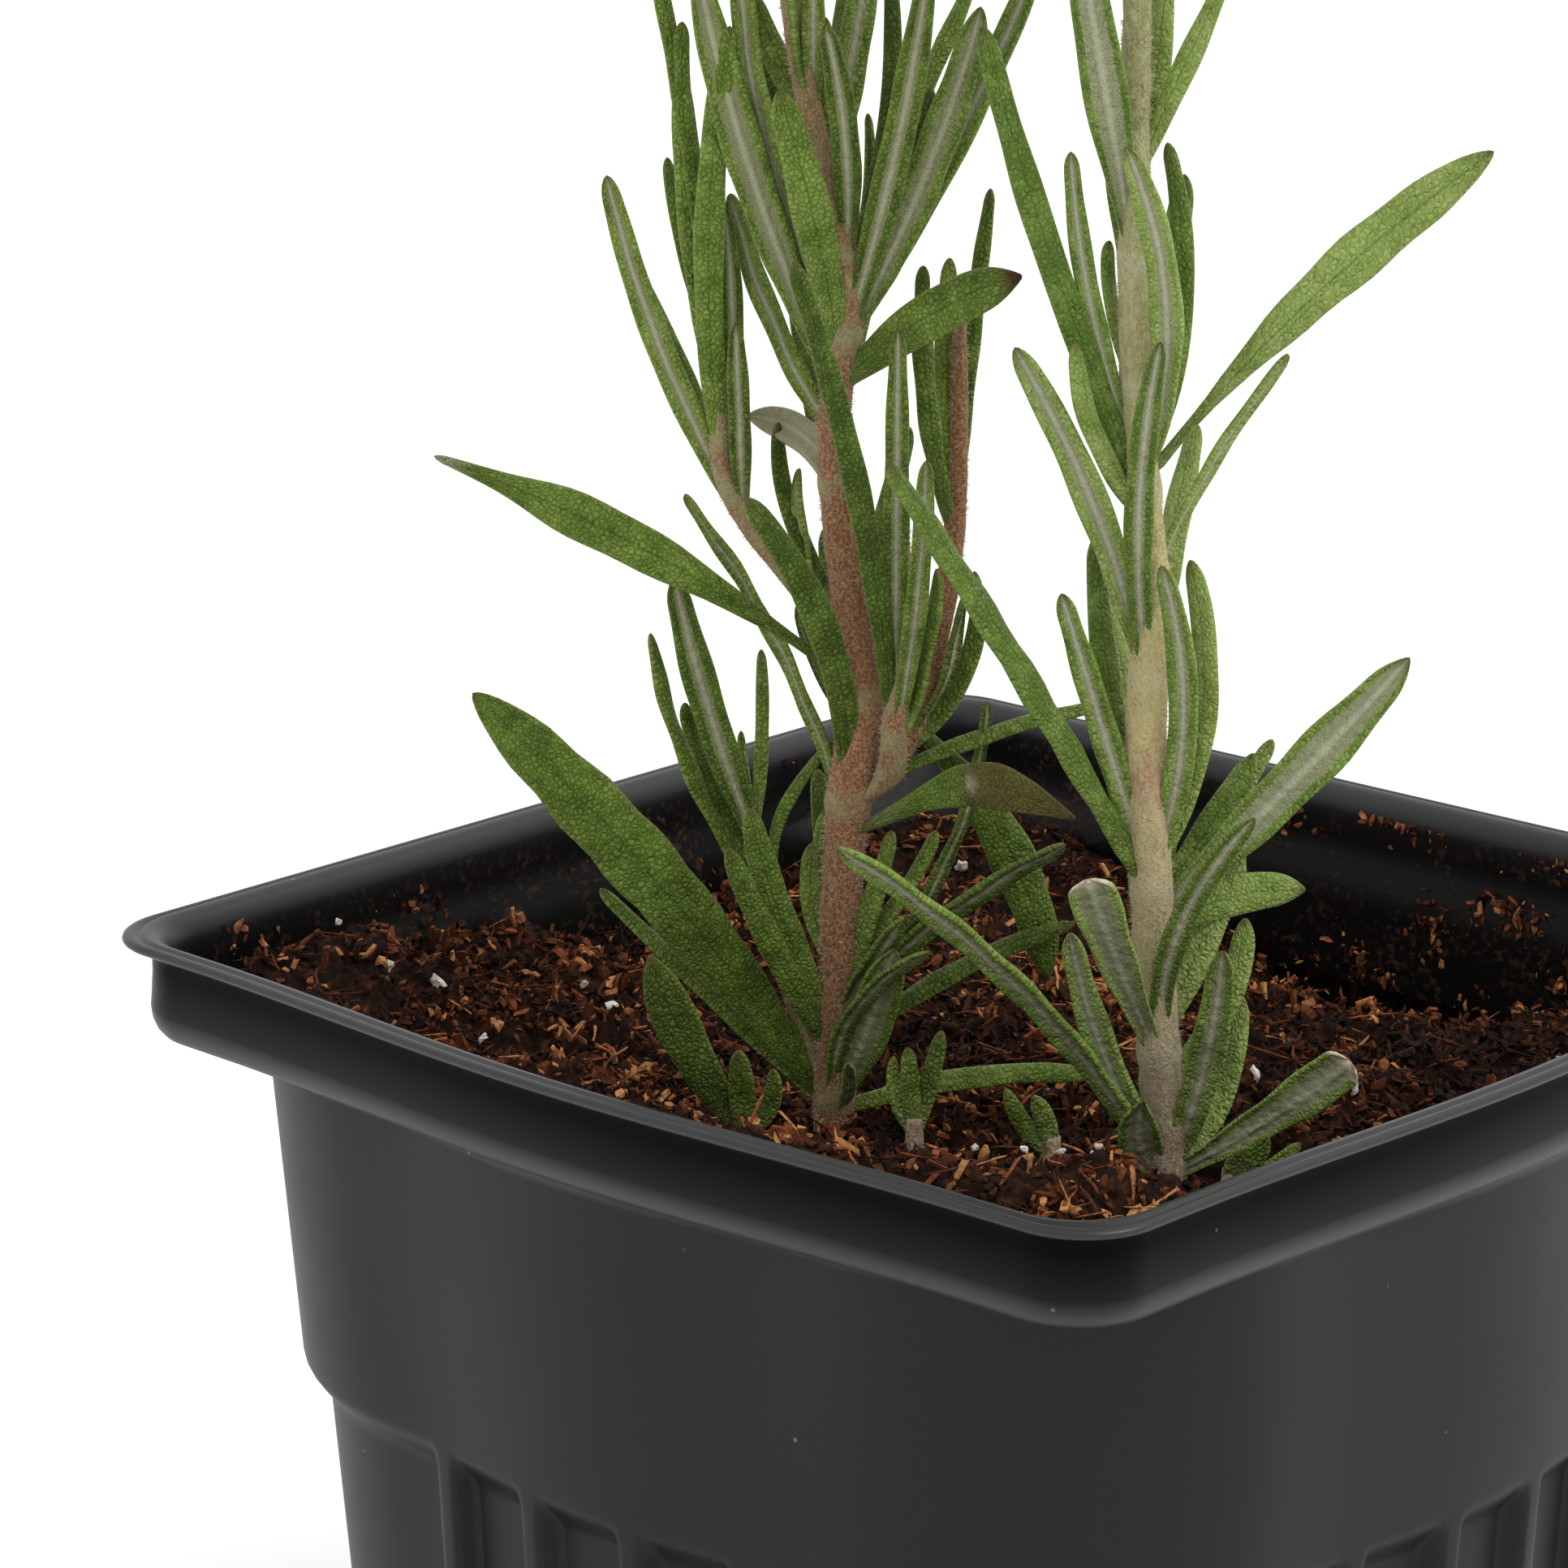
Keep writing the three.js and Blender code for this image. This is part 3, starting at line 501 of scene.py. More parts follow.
def dampPeat():  # damp peat between the bits: dark, matt, and in clods of 1.4 mm
    material, tree = newMaterial("dampPeat")
    place = addNode(tree, "TexCoord", output="Object")
    clods = addNode(tree, "TexNoise", {"Vector": place, "Scale": 700, "Detail": 6, "Roughness": 0.7})
    stops = [(0.38, soil["damp"]), (0.53, soil["peat"]), (0.66, soil["bark"])]
    return finishMaterial(material, {
        "Base Color": addNode(tree, "ValToRGB", [clods], stops=stops),
        "Roughness": 0.9, "Specular IOR Level": 0.12,
        "Normal": layBumps(tree, [(clods, 0.0006, 1)]),
    })


# What lies on the soil: bark chips, flat flakes, strands, pale grains, and crumbs on the pot.
# Sizes are in millimetres: half the length of a chip, flake or crumb, and a strand's whole length.
chips = {
    "count": 9800, "long": (0.22, 1.1), "least": 0.6, "wideShare": (0.25, 0.7), "thickShare": (0.2, 0.5),
    "tilt": 0.6, "lift": (-0.1, 0.5),
}
flakes = {
    "count": 9500, "long": (0.22, 0.9), "least": 0.5, "wideShare": (0.12, 0.42), "thick": (0.06, 0.2),
    "tilt": 0.8, "lift": (0.1, 0.8),
}
strands = {
    "count": 1700, "long": (0.9, 4.2), "wide": (0.08, 0.2), "thick": (0.05, 0.12), "tilt": 0.35,
    "lift": (0.3, 0.9), "curl": 3.2,
}
litter = {
    # two of these paint light and shade: the relief share darkens bits in its hollows and lightens those on
    # its tops, and the right share darkens the soil at the right and back
    "quickShare": 0.4, "spread": 0.985, "meanTone": 0.35, "toneSpread": 0.24, "paintedReliefShade": 0.36,
    "heapTone": 0.16, "paintedRightShade": -0.18,
    "tones": [(0, "#0f0704"), (0.3, "#2b150b"), (0.58, "#522a16"), (0.83, "#844c2a"), (1, "#b58050")],
}
perlite = {
    "tones": [(0, "#8d8070"), (0.5, "#b8ada0"), (1, "#ddd8cf")],
    "grains": [  # place and size of those in the photograph
        (-37.1, -25.4, 0.9), (-38.7, -29.2, 0.7), (-29.6, -13.4, 0.8), (2.3, 6.5, 1.0), (17.3, 9.5, 0.9),
        (-9.7, 17.4, 0.9), (24.8, 11.9, 0.8), (26.0, 5.7, 0.7), (-44.6, -29.1, 0.5), (-12.3, -44.5, 0.5),
        (18.6, -12.7, 0.6), (19.9, 46.6, 0.8), (-31.5, 31.5, 0.8),
    ],
    "more": 32, "moreSize": (0.25, 0.6), "stretch": 1.25, "squash": 0.8, "sizeShare": 0.6,
}
crumbs = {
    "count": 620, "scatter": 1.3, "farthest": 23, "lowest": 68, "highest": 86, "tone": 0.66,
    "long": (0.12, 0.75),
    "stuck": [  # clusters on the rear wall: along and up
        (-8.2, 79.1), (-11.5, 85.6), (-16.6, 80.6), (-2, 72.9), (-1.8, 86), (7.2, 70.8), (5.4, 84.3),
        (-7.3, 70), (-13.1, 81.1), (-6.9, 77.3),
    ],
    # more of them by chance: how many, the pot's side, how far along and how high
    "more": [(3, 1, (6, 23), (78, 85)), (12, 2, (-22, 22), (72, 84)), (8, 3, (-22, 22), (78, 86))],
}
wholeTurn = 6.3  # once round, in radians


def litterFinish(name, stops, roughness):  # matt and torn, each bit of its own tone, grain of 0.4 mm
    material, tree = newMaterial(name)
    place = addNode(tree, "TexCoord", output="Object")
    tone = addNode(tree, "Attribute", output="Fac", attribute_name="bitTone")
    grain = addNode(tree, "TexNoise", {"Vector": place, "Scale": 2600, "Detail": 4})
    mixed = addNode(tree, "MapRange", (grain, 0.25, 0.75, -0.16, 0.16))
    mixed = addNode(tree, "Math", (tone, mixed))
    return finishMaterial(material, {
        "Base Color": addNode(tree, "ValToRGB", [mixed], stops=stops),
        "Roughness": roughness, "Specular IOR Level": 0.15,
        "Normal": layBumps(tree, [(grain, 0.0002, 0.8)]),
    })


def copyBits(bm, count):  # gives the layer of tones, and each copy's points with the first shape's
    tone = bm.verts.layers.float.new("bitTone")
    rest = [vert.co.copy() for vert in bm.verts]
    return tone, [list(zip(verts, rest)) for verts in copyShape(bm, count)]


def randomTurn(draw):
    return Euler([draw.uniform(0, wholeTurn) for _ in range(3)])


def barkTone(draw):
    return min(max(draw.gauss(litter["meanTone"], litter["toneSpread"]), 0), 1)


def barkBit(draw, kind):  # a chip or a flake: its turn, size, lift and tone
    long = draw.uniform(*kind["long"]) * draw.uniform(kind["least"], 1)
    wide = long * draw.uniform(*kind["wideShare"])
    flat = "thick" in kind
    thick = draw.uniform(*kind["thick"]) if flat else long * draw.uniform(*kind["thickShare"])
    turn = Euler((draw.gauss(0, kind["tilt"]), draw.gauss(0, kind["tilt"]), draw.uniform(0, wholeTurn)))
    return turn, (long, wide, thick), draw.uniform(*kind["lift"]), barkTone(draw)


def barkStrand(draw, kind):
    size = (draw.uniform(*kind["wide"]), draw.uniform(*kind["thick"]), draw.uniform(*kind["long"]))
    turn = Euler((1.57 + draw.gauss(0, kind["tilt"]), 0, draw.uniform(0, wholeTurn)))
    return turn, size, draw.uniform(*kind["lift"]), min(barkTone(draw) + 0.1, 1)


def layBits(bm, draw, shapeBit, kind):  # spreads copies of the one shape in bm over the soil
    count = int(kind["count"] * (1))
    tone, bits = copyBits(bm, count)
    for pairs in bits:
        x, y = (draw.uniform(-litter["spread"], litter["spread"]) for _ in range(2))
        spot = soilSurface(x, y)
        turn, size, lift, shade = shapeBit(draw, kind)
        # painted shade: bits in the hollows of the relief are darkened; painted light: bits on its tops are
        # lightened
        shade += litter["paintedReliefShade"] * soilRelief(spot.x, spot.y)  # darker in hollows
        shade += litter["heapTone"] * smoothStep(84, 88, spot.z)
        # painted shadow over the soil at the right and towards the back
        shade += litter["paintedRightShade"] * smoothStep(5, 35, spot.x) * smoothStep(-35, 0, spot.y)
        for vert, co in pairs:
            own = Vector((co.x * size[0], co.y * size[1], co.z * size[2]))
            own *= draw.uniform(0.6, 1.3)
            own.rotate(turn)
            place = spot + own + Vector((0, 0, lift))
            vert.co = Vector((place.x, place.y, min(place.z, pot["height"] + 2))) * mm
            vert[tone] = min(max(shade, 0), 1)


def makeLitter():
    bark = litterFinish("barkChips", litter["tones"], 0.85)
    draw = random.Random(5)
    bm = bmesh.new()
    bmesh.ops.create_icosphere(bm, subdivisions=1, radius=1)
    layBits(bm, draw, barkBit, chips)
    finishPiece(bm, "bark_chips", [bark], ["soil"], smooth=False)
    bm = bmesh.new()
    bmesh.ops.create_cube(bm, size=2)
    layBits(bm, draw, barkBit, flakes)
    finishPiece(bm, "bark_flakes", [bark], ["soil"], smooth=False)
    bm = bmesh.new()
    bmesh.ops.create_cone(bm, cap_ends=True, segments=5, radius1=1, radius2=0.6, depth=1)
    uprights = [e for e in bm.edges if abs(e.verts[0].co.z - e.verts[1].co.z) > 0.5]
    bmesh.ops.subdivide_edges(bm, edges=uprights, cuts=3)
    for vert in bm.verts:
        vert.co.x += strands["curl"] * (0.25 - vert.co.z ** 2) * (1 + vert.co.z)
    layBits(bm, draw, barkStrand, strands)
    finishPiece(bm, "bark_strands", [bark], ["soil"])


def makeGrains():  # perlite: pale, lumpy and matt
    draw = random.Random(9)
    bm = bmesh.new()
    bmesh.ops.create_icosphere(bm, subdivisions=2, radius=1)
    spots = list(perlite["grains"])
    spots += [(draw.uniform(-42, 42), draw.uniform(-40, 42), draw.uniform(*perlite["moreSize"]))
              for _ in range(perlite["more"])]
    tone, bits = copyBits(bm, len(spots))
    for pairs, (x, y, size) in zip(bits, spots):
        turn, shade = randomTurn(draw), draw.random()
        shift = Vector((draw.uniform(0, 50), 0, 0))
        middle = Vector((x, y, soilHeight(x, y) + 0.3 * size + 0.5))
        for vert, co in pairs:
            own = co * (1 + 0.75 * noise.noise(co * 1.3 + shift) + 0.3 * noise.noise(co * 3 + shift))
            own.x *= perlite["stretch"]
            own.z *= perlite["squash"]
            own.rotate(turn)
            own *= perlite["sizeShare"] * size
            vert.co = (middle + own) * mm
            vert[tone] = shade
    pale = litterFinish("perlite", perlite["tones"], 0.8)
    finishPiece(bm, "perlite_grains", [pale], ["soil"], smooth=False)


def makeCrumbs():  # crumbs of peat stuck to the inside of the rear walls and on the rim
    draw = random.Random(21)
    bm = bmesh.new()
    bmesh.ops.create_icosphere(bm, subdivisions=1, radius=1)
    clusters = [(2, along, z) for along, z in crumbs["stuck"] for _ in range(3)]
    for count, side, alongs, heights in crumbs["more"]:
        clusters += [(side, draw.uniform(*alongs), draw.uniform(*heights)) for _ in range(count)]
    tone, bits = copyBits(bm, crumbs["count"])
    far = crumbs["farthest"]
    for pairs in bits:
        side, along, z = draw.choice(clusters)
        along = min(max(along + draw.gauss(0, crumbs["scatter"]), -far), far)
        z = min(max(z + draw.gauss(0, 1), crumbs["lowest"]), crumbs["highest"])
        if z > pot["ledge"]:
            spot = bandRing(z, pot["bandHalf"] - pot["wall"])((side, along, None))
        else:
            spot = squarePoint((side, along, None), bodyHalfAt(z) - pot["wall"], pot["bodyCorner"], z)
        size = draw.uniform(*crumbs["long"]) * draw.uniform(0.4, 1.2)
        turn = randomTurn(draw)
        shade = min(max(draw.gauss(crumbs["tone"], 0.2), 0), 1)
        for vert, co in pairs:
            own = Vector((co.x, co.y * 0.6, co.z * 0.3)) * size * draw.uniform(0.45, 1.4)
            own.rotate(turn)
            vert.co = (spot + own) * mm
            vert[tone] = shade
    bark = litterFinish("peatCrumbs", litter["tones"], 0.85)
    finishPiece(bm, "peat_crumbs", [bark], ["soil"], smooth=False)


makeSoil(dampPeat())
makeLitter()
makeGrains()
makeCrumbs()

# Where the plants stand. Across runs from the pot's left corner to its right, front to its front one.
layoutTurn = math.radians(42.6)
acrossAxis = Vector((math.cos(layoutTurn), math.sin(layoutTurn), 0))
frontAxis = Vector((math.sin(layoutTurn), -math.cos(layoutTurn), 0))
upAxis = Vector((0, 0, 1))
footHeight = 77  # the stems' heights start here, in millimetres above the pot's foot
leafForm = {
    "thick": 0.84, "minThick": 0.65, "fullWidth": 2.4, "around": 24, "rings": 26, "quickRings": 12,
    "crowding": 1.5, "twist": 8, "blunt": 0.3, "rounded": 0.8, "longestCap": 0.4, "beakTaper": 0.64,
    "beak": (0.62, 0.98), "wave": (0.04, 0.13), "darkTone": 0.05, "kinkPlace": 0.53,
    # how far from the tip these start and are full, in millimetres
    "dryTip": (1.8, 0.6), "cutTip": (0.9, 0.5), "beakTip": (2.6, 1.4), "point": (1.1, 0.2),
}
rear = {"from": 10, "step": 9, "to": 80}
crown = {  # a value at the crown's foot, its change up to the top and its spread
    "step": 5.4, "length": (23, -12, 3), "lean": (38, -14, 8), "shortLean": (26, -14, 8),
    "width": (2.4, -0.4, 0.4), "shortWidth": (1.6, -0.4, 0.4), "shortShare": 0.55, "shortUp": 2,
}

# A stem is a list of (up, across, front, radius) from its foot.
# A leaf is (up, across, rise, front, width, face, bow, bend, marks): where it leaves the stem, the
# reach of its tip, its width, and how it turns. Face 1 shows its upper side to the front, -1 its
# underside. Bend is 0 where it is left out, and the marks say what is special about a leaf.
leftMain = {
  "path": [
    (-28, -0.5, 0, 1.2), (-2, -0.5, 0, 1.5), (12, 0, 0, 1.5), (24, 0.5, 0, 1.6),
    (31, 1.5, 0, 1.7), (38, 1, 0, 1.45), (46, 0, 0, 1.35), (54, -0.5, 0, 1.2), (62, 0.5, 0, 1.1),
    (69, -0.5, 0, 1), (75, -2, 0, 0.95), (84, -3.5, 0, 0.9), (100, -5, -1, 0.8),
    (120, -5, -2, 0.7), (140, -4, -2, 0.55), (147, -4, -2, 0.45),
  ],
  "leaves": [
    (57.5, -4.5, 21, 5, 2.9, 1, -0.04),
    (65, -1.5, 18, 4, 2.1, -0.9, -0.08),
    (60, 5.5, 26.5, 5, 2.4, -1, -0.04),
    (59.5, 9.5, 24.5, 2, 2.9, -0.9, -0.06),
    (65, 10, 22, -5, 1.6, 0.5, 0),
    (71, 3, 16, -4, 2.5, -0.8, 0),
    (56, 13, 9.5, 6, 3.7, 0.8, 0.12, 0, "dry"),
    (56, -10, 30.5, 1, 3, -0.9, 0.06),
    (75.5, -4.5, 9, -3, 2.2, 0.5, 0.06),
    (59.5, -7.5, 27.5, 0, 2.4, -0.6, 0.12),
    (52.5, -7.5, 17, -5, 2.1, -0.6, 0.08),
    (48.5, -6.5, 4, -7, 2.5, -1, -0.28, 0, "woolly"),
    (39, -5.5, 13.5, -5, 1.5, 0.5, 0.2),
    (33.5, -4.5, 16, -3, 1.6, -0.5, 0.16),
    (33.5, -31, 18, 2, 3.6, 1, -0.08, 0, "stalked", "beaked"),
    (23.5, -12, 24, -3, 1.7, -0.5, -0.1),
    (24.5, -7.5, 25, 7, 2.4, 0.9, -0.18),
    (30.5, -4.5, 8.5, -4, 1.5, -0.5, 0.16),
    (22, 16.5, 5, 12, 3.4, 0.9, 0.32, 0, "kinked"),
    (25.5, 20.5, 5.5, -6, 1.4, 0.5, 0.08),
    (8, 4, 15.5, 3, 1.9, 0.6, 0),
    (11.5, -2, 9, -4, 1.6, 0.5, 0.2),
    (12, -1, 10.5, -6, 1.5, 0.5, 0.14),
    (7, -6.5, 18.5, 4, 2.4, 0.9, 0.08),
    (5, -8, 18, 6, 2, 0.9, 0.04),
    (0.5, -26.5, 33.5, 3, 5.2, 1, -0.06),
    (0.5, -17.5, 17, -2, 1.6, 0.5, 0),
    (1, 7, 14.5, 7, 1.7, -0.5, 0.28),
    (7.5, 5, 10, 5, 2, -0.5, 0.04),
    (0.5, 4.5, 14.5, 5, 3.6, -1, -0.02),
    (9, 17, 12, -2, 2.2, -0.5, 0.08),
    (5, 18, 9.5, -3, 1.7, 0.5, 0.12),
    (0.5, 20, 3, 0, 1.9, 0.5, 0.12),
    (0.5, 1, 6, 6, 1.2, 0.5, -0.12),
    (12.5, 7, 11, 3, 1.6, 0.5, -0.12),
    (9, 11, 22.5, -4, 1.6, -0.5, -0.2),
    (64, 3, 22, -5, 1.5, 0.5, -0.12),
    (64, 1.5, 11.5, -4, 0.9, 0.5, -0.12),
    (60, 13.5, 26.5, -1, 2.2, -1, -0.04),
    (59.5, 6, 18.5, 0, 1.1, 0.5, -0.08),
    (72, 0, 11, 0, 1.2, 0.5, -0.04),
    (75.5, 0, 12.5, 2, 1.7, 0.5, 0),
    (76, -1.5, 11.5, 3, 1, 0.5, 0.06),
    (71, -5.5, 11, -5, 1.6, 0.5, 0.08),
  ],
}
leftSideShoots = [  # felt: how felted the shoot's stem is
  {
    "felt": 1.0,
    "path": [
      (36, 0.5, 0, 0.9), (39.5, -2, -1, 0.9), (45, -6.5, -2, 0.85), (49, -8.5, -2, 0.8),
      (54.5, -9, -2, 0.7), (60, -9.3, -2, 0.5),
    ],
    "leaves": [
      (45, -10.5, 26, -2, 2.2, -0.8, 0.08),
      (50.5, -6, 12.5, -5, 1.7, 0.5, 0),
      (54.5, -2.5, 27.5, -3, 1.7, 0.8, 0.06),
      (49, 0.5, 33.5, 3, 2.2, 0.8, 0.08),
      (46, -0.5, 15, 3, 1.7, -0.5, 0),
      (58.5, -3.5, 13, -7, 1.4, 0.5, 0.04),
      (49, 0, 20, 0, 1.7, -0.8, -0.06),
      (58.5, -4.5, 28.5, -4, 1.6, 0.5, -0.04),
    ],
  },
  {
    "felt": 0.9,
    "path": [
      (25, 1.5, 0, 1.1), (27, 3.5, 1, 1.1), (31, 4, 2, 1), (37, 4.3, 2, 0.85), (46, 4.5, 2, 0.5),
    ],
    "leaves": [
      (30.5, 0, 31, 4, 1.9, -1, 0),
      (30, 2, 22.5, 6, 1.7, -0.6, -0.04),
      (29, 3, 14.5, 2, 1.9, 0.5, -0.08),
      (30, -7.5, 37, 7, 1.9, 0.9, -0.06),
    ],
  },
  {
    "felt": 0.1,
    "path": [
      (25, 1, 0, 1), (28, 4.5, -2, 1), (35, 7, -5, 0.9), (43.5, 8.5, -7, 0.8), (53, 8.8, -8, 0.7),
      (60, 8.8, -8, 0.5),
    ],
    "leaves": [
      (44.5, 2.5, 24.5, -3, 1.4, 0.6, 0.02),
      (44.5, -0.5, 19.5, -2, 1.9, 0.7, 0.04),
      (43.5, -2.5, 21, 4, 1.7, 0.8, 0.08),
      (28, 4.5, 11.5, -2, 1.6, -0.5, -0.16),
      (30, 10.5, -21, -3, 3.6, 0.8, 0.16),
      (28, 5.5, 13, -4, 1.5, 0.5, -0.3),
    ],
  },
  {
    "felt": 0.9,
    "path": [(1, -1, 0, 0.9), (8, -3, -1, 0.85), (15.5, -5, -3, 0.75), (21.5, -6.5, -4, 0.5)],
    "leaves": [
      (20.5, -6, 21, 2, 2.6, -1, 0.04),
      (15.5, -9, 21.5, 0, 1.5, 0.5, 0.12),
      (18, -6, 13, -2, 1.5, 0.5, 0.1),
      (21, 0.5, 14, -2, 1.1, 0.5, -0.04),
      (19, -1.5, 9.5, -3, 0.9, 0.5, 0.06),
      (15, 4.5, 14, 1, 1.2, 0.5, 0.28),
    ],
  },
]
rightMain = {
  "path": [
    (-28, 1, 0, 1.2), (-2, 1, 0, 1.6), (7, 0.5, 0, 1.6), (13, 0, 0, 1.55),
    (24, -0.6, 0, 1.5), (31, -1, 0, 1.5), (37, -1, 0, 1.4), (43, -0.7, 0, 1.3), (50, -1.5, 0, 1.2),
    (56, -2, 0, 1.15), (64, -2.5, 0, 1.1), (76, -2.6, 0, 1.05), (88, -2.6, 0, 1),
    (104, -2, 1, 0.85), (122, -1, 2, 0.7), (136, 0, 2, 0.55), (141, 0, 2, 0.45),
  ],
  "leaves": [
    (20.5, -19.5, 34, 9, 2.6, 0.6, -0.02, 0, "dark"),
    (21, -7, 22.5, 2, 2.1, -0.9, 0),
    (23.5, -4, 22.5, -5, 2.1, 0.5, 0.08),
    (22, 0, 24, 4, 2.2, -1, -0.16),
    (22, 2.5, 23, -2, 2.1, 0.5, -0.2),
    (18.5, 18, 20, 1, 3.7, -1, -0.02),
    (8, 6, 20, 6, 2.1, -0.8, 0.2),
    (19.5, 7.5, 10.5, -4, 2.7, 0.5, -0.06),
    (19, 9, 11.5, -6, 1.7, 0.5, -0.04),
    (17.5, 11.5, 2, -4, 3.1, 1, 0.18),
    (9.5, 6, 13.5, -3, 2.5, 0.7, -0.02),
    (6, 6, 12, -2, 2.2, 0.6, -0.24),
    (-1.5, 5.5, 13, -4, 1.7, 0.5, -0.24),
    (-1.5, 3.5, 19, 4, 2.7, -1, -0.08),
    (-1.5, 13, 10.5, 4, 3.6, -1, -0.04, 0, "cut"),
    (-1.5, -2, 7.5, 4, 3.2, -0.8, 0.24),
    (7.5, -6, 16.5, 8, 3.6, -0.9, 0.02, 0, "cut"),
    (-1.5, -7.5, 20, 3, 2.4, -0.9, 0.08),
    (-1.5, -24.5, 28, 8, 2.4, -0.5, -0.12),
    (50, -12, 34, 3, 2.2, 0.9, 0.04),
    (51.5, -5.5, 23.5, 1, 1.7, -0.9, 0.08),
    (48.5, -5.5, 13.5, 4, 2.1, 0.6, 0.14),
    (36.5, -10, 25, 3, 2.5, -0.8, -0.08),
    (36.5, 0, 26, 6, 2.1, -0.7, 0.08),
    (51.5, -2, 24.5, 5, 2.4, -1, -0.18),
    (51.5, 1.5, 23.5, -3, 1.7, 0.6, -0.16),
    (51, 24, 24, 1, 3.5, 1, 0.08, 0, "stalked"),
    (44, 9.5, 16, -2, 1.6, -0.5, 0.08),
    (73, 6, 14.5, 2, 1.7, 0.8, 0),
    (67.5, -4.5, 23, 5, 3.2, -1, 0),
    (58, -2, 10, -3, 1.2, 0.5, 0.12),
    (73, 2, 15.5, -3, 1.7, 0.5, -0.08),
  ],
}
plants = [  # foot: across and front; nodes: the heights where leaves leave the stem
  {
    "name": "left_rosemary", "foot": (-13, 15), "seed": 11, "wobbleSeed": 100,
    "main": leftMain, "sides": leftSideShoots, "crown": (84, 144),
    "nodes": (2, 25, 33, 49, 60, 64, 66, 73, 84, 95, 106, 117, 128),
  },
  {
    "name": "right_rosemary", "foot": (10, 24), "seed": 43, "wobbleSeed": 101,
    "main": rightMain, "sides": [], "crown": (86, 138),
    "nodes": (8.5, 21, 36.5, 50.5, 58, 67, 75, 87, 98, 109, 120),
  },
]
smallShoots = [
  {
    "name": "small_shoot_left", "foot": (-20, 22), "wobbleSeed": 300,
    "leaves": [
      (1, -7, 14.5, 1, 3.4, 1, 0.08),
      (1, -0.5, 7.5, 2, 2, 0.9, 0),
      (1, 2, 6, 2, 1.4, 0.9, -0.24),
    ],
  },
  {
    "name": "small_shoot_centre", "foot": (-7.5, 22), "wobbleSeed": 301,
    "leaves": [
      (1, -0.5, 7, 0, 1.5, 0.8, 0),
      (1, 2, 8, -1, 1.6, 0.5, 0),
      (1, -1.5, 6, -1, 1.1, 0.8, 0.2),
    ],
  },
  {
    "name": "small_shoot_middle", "foot": (2.5, 26), "wobbleSeed": 302,
    "leaves": [
      (1, -3.5, 5.5, 1, 1.4, 0.9, 0.12),
      (1, -1.5, 5, 1, 1.5, 0.9, -0.12),
    ],
  },
  {
    "name": "small_shoot_right", "foot": (15, 33), "wobbleSeed": 303,
    "leaves": [
      (1, 1, 3.5, 1, 1.4, 0.9, 0.16),
      (1, 2.5, 4.5, 1, 1.6, 0.9, -0.08),
      (1, 5, 3.5, 0, 1.2, 0.9, -0.12),
    ],
  },
]
smallStem = [(-6, 0, 0, 0.8), (-2, 0, 0, 0.8), (2.5, 0, 0, 0.6)]


def seededRandom(seed):  # the same draws each run
    state = [seed]

    def draw():
        state[0] = state[0] * 16807 % 2147483647
        return state[0] / 2147483647
    return draw


def layoutPoint(across, front, z):
    return acrossAxis * across + frontAxis * front + upAxis * z


def stemPoint(path, up):  # a smooth line through the stem's points, read by height
    k = 0
    while k < len(path) - 2 and up > path[k + 1][0]:
        k += 1
    a, b = path[k], path[k + 1]
    before, after = path[max(k - 1, 0)], path[min(k + 2, len(path) - 1)]
    span = b[0] - a[0]
    t = min(max((up - a[0]) / span, 0), 1)
    values = []
    for i in (1, 2, 3):
        startSlope = (b[i] - before[i]) / (b[0] - before[0])
        endSlope = (after[i] - a[i]) / (after[0] - a[0])
        values.append(a[i] * (2 * t ** 3 - 3 * t ** 2 + 1) + b[i] * (3 * t ** 2 - 2 * t ** 3)
                      + span * (startSlope * (t ** 3 - 2 * t ** 2 + t) + endSlope * (t ** 3 - t ** 2)))
    return values


def rearLeaves(draw):
    leaves = []
    hand, up = 1, rear["from"]
    while up <= rear["to"]:
        hand = -hand
        leaves.append((up, hand * (1.5 + 3 * draw()), 13 + 4 * draw(), -8 - 4 * draw(),
                       1.9 + 0.6 * draw(), 0, 0, 0.1 * draw() - 0.05))
        up += rear["step"]
    return leaves


def crownLeaves(low, high, draw):
    leaves = []
    count = math.floor((high - low) / crown["step"] + 0.5)

    def drawn(name, share):
        first, change, spread = crown[name]
        return first + change * share + spread * draw()

    for k in range(count + 1):
        share = k / count
        pairTurn = k * 90 + 30 * draw()
        for n in range(4):  # a pair of long leaves, and a pair of short ones across it
            short = n % 2 == 1
            length = (crown["shortShare"] if short else 1) * drawn("length", share)
            lean = math.radians(drawn("shortLean" if short else "lean", share))
            turn = math.radians(pairTurn + 90 * n + 16 * draw())
            leaves.append((low + (high - low) * share + (crown["shortUp"] if short else 0),
                           length * math.sin(lean) * math.cos(turn), length * math.cos(lean),
                           length * math.sin(lean) * math.sin(turn),
                           drawn("shortWidth" if short else "width", share), 0, 0,
                           0.12 * draw() - 0.04))
    return leaves


def widthShare(t, width):  # narrow leaves keep their width to a blunt tip, broad ones taper both ways
    narrow = 0.22 + 0.78 * math.sin(math.pi * (0.06 + 0.74 * t) ** 0.85)
    broad = max(math.sin(math.pi * (0.045 + 0.86 * t ** 1.25)), 0) ** 0.75
    share = smoothStep(2.5, 3.5, width)
    return narrow * (1 - share) + broad * share


def rolledShare(width):  # how much of the underside the rolled margins take
    return min(max(1.25 - 0.25 * width, 0.36), 0.72)


def section(c, upper, width):  # height of the blade's skin at the share c of its half width
    if upper:
        return -0.15 + 0.55 * math.sqrt(max(1 - c * c, 0)) - 0.07 * math.exp(-(c / 0.12) ** 2)
    u = min((1 - abs(c)) / rolledShare(width), 1)
    return -0.15 - 0.42 * math.sin(math.pi * u ** 0.7) - 0.16 * math.exp(-(c / 0.16) ** 2)


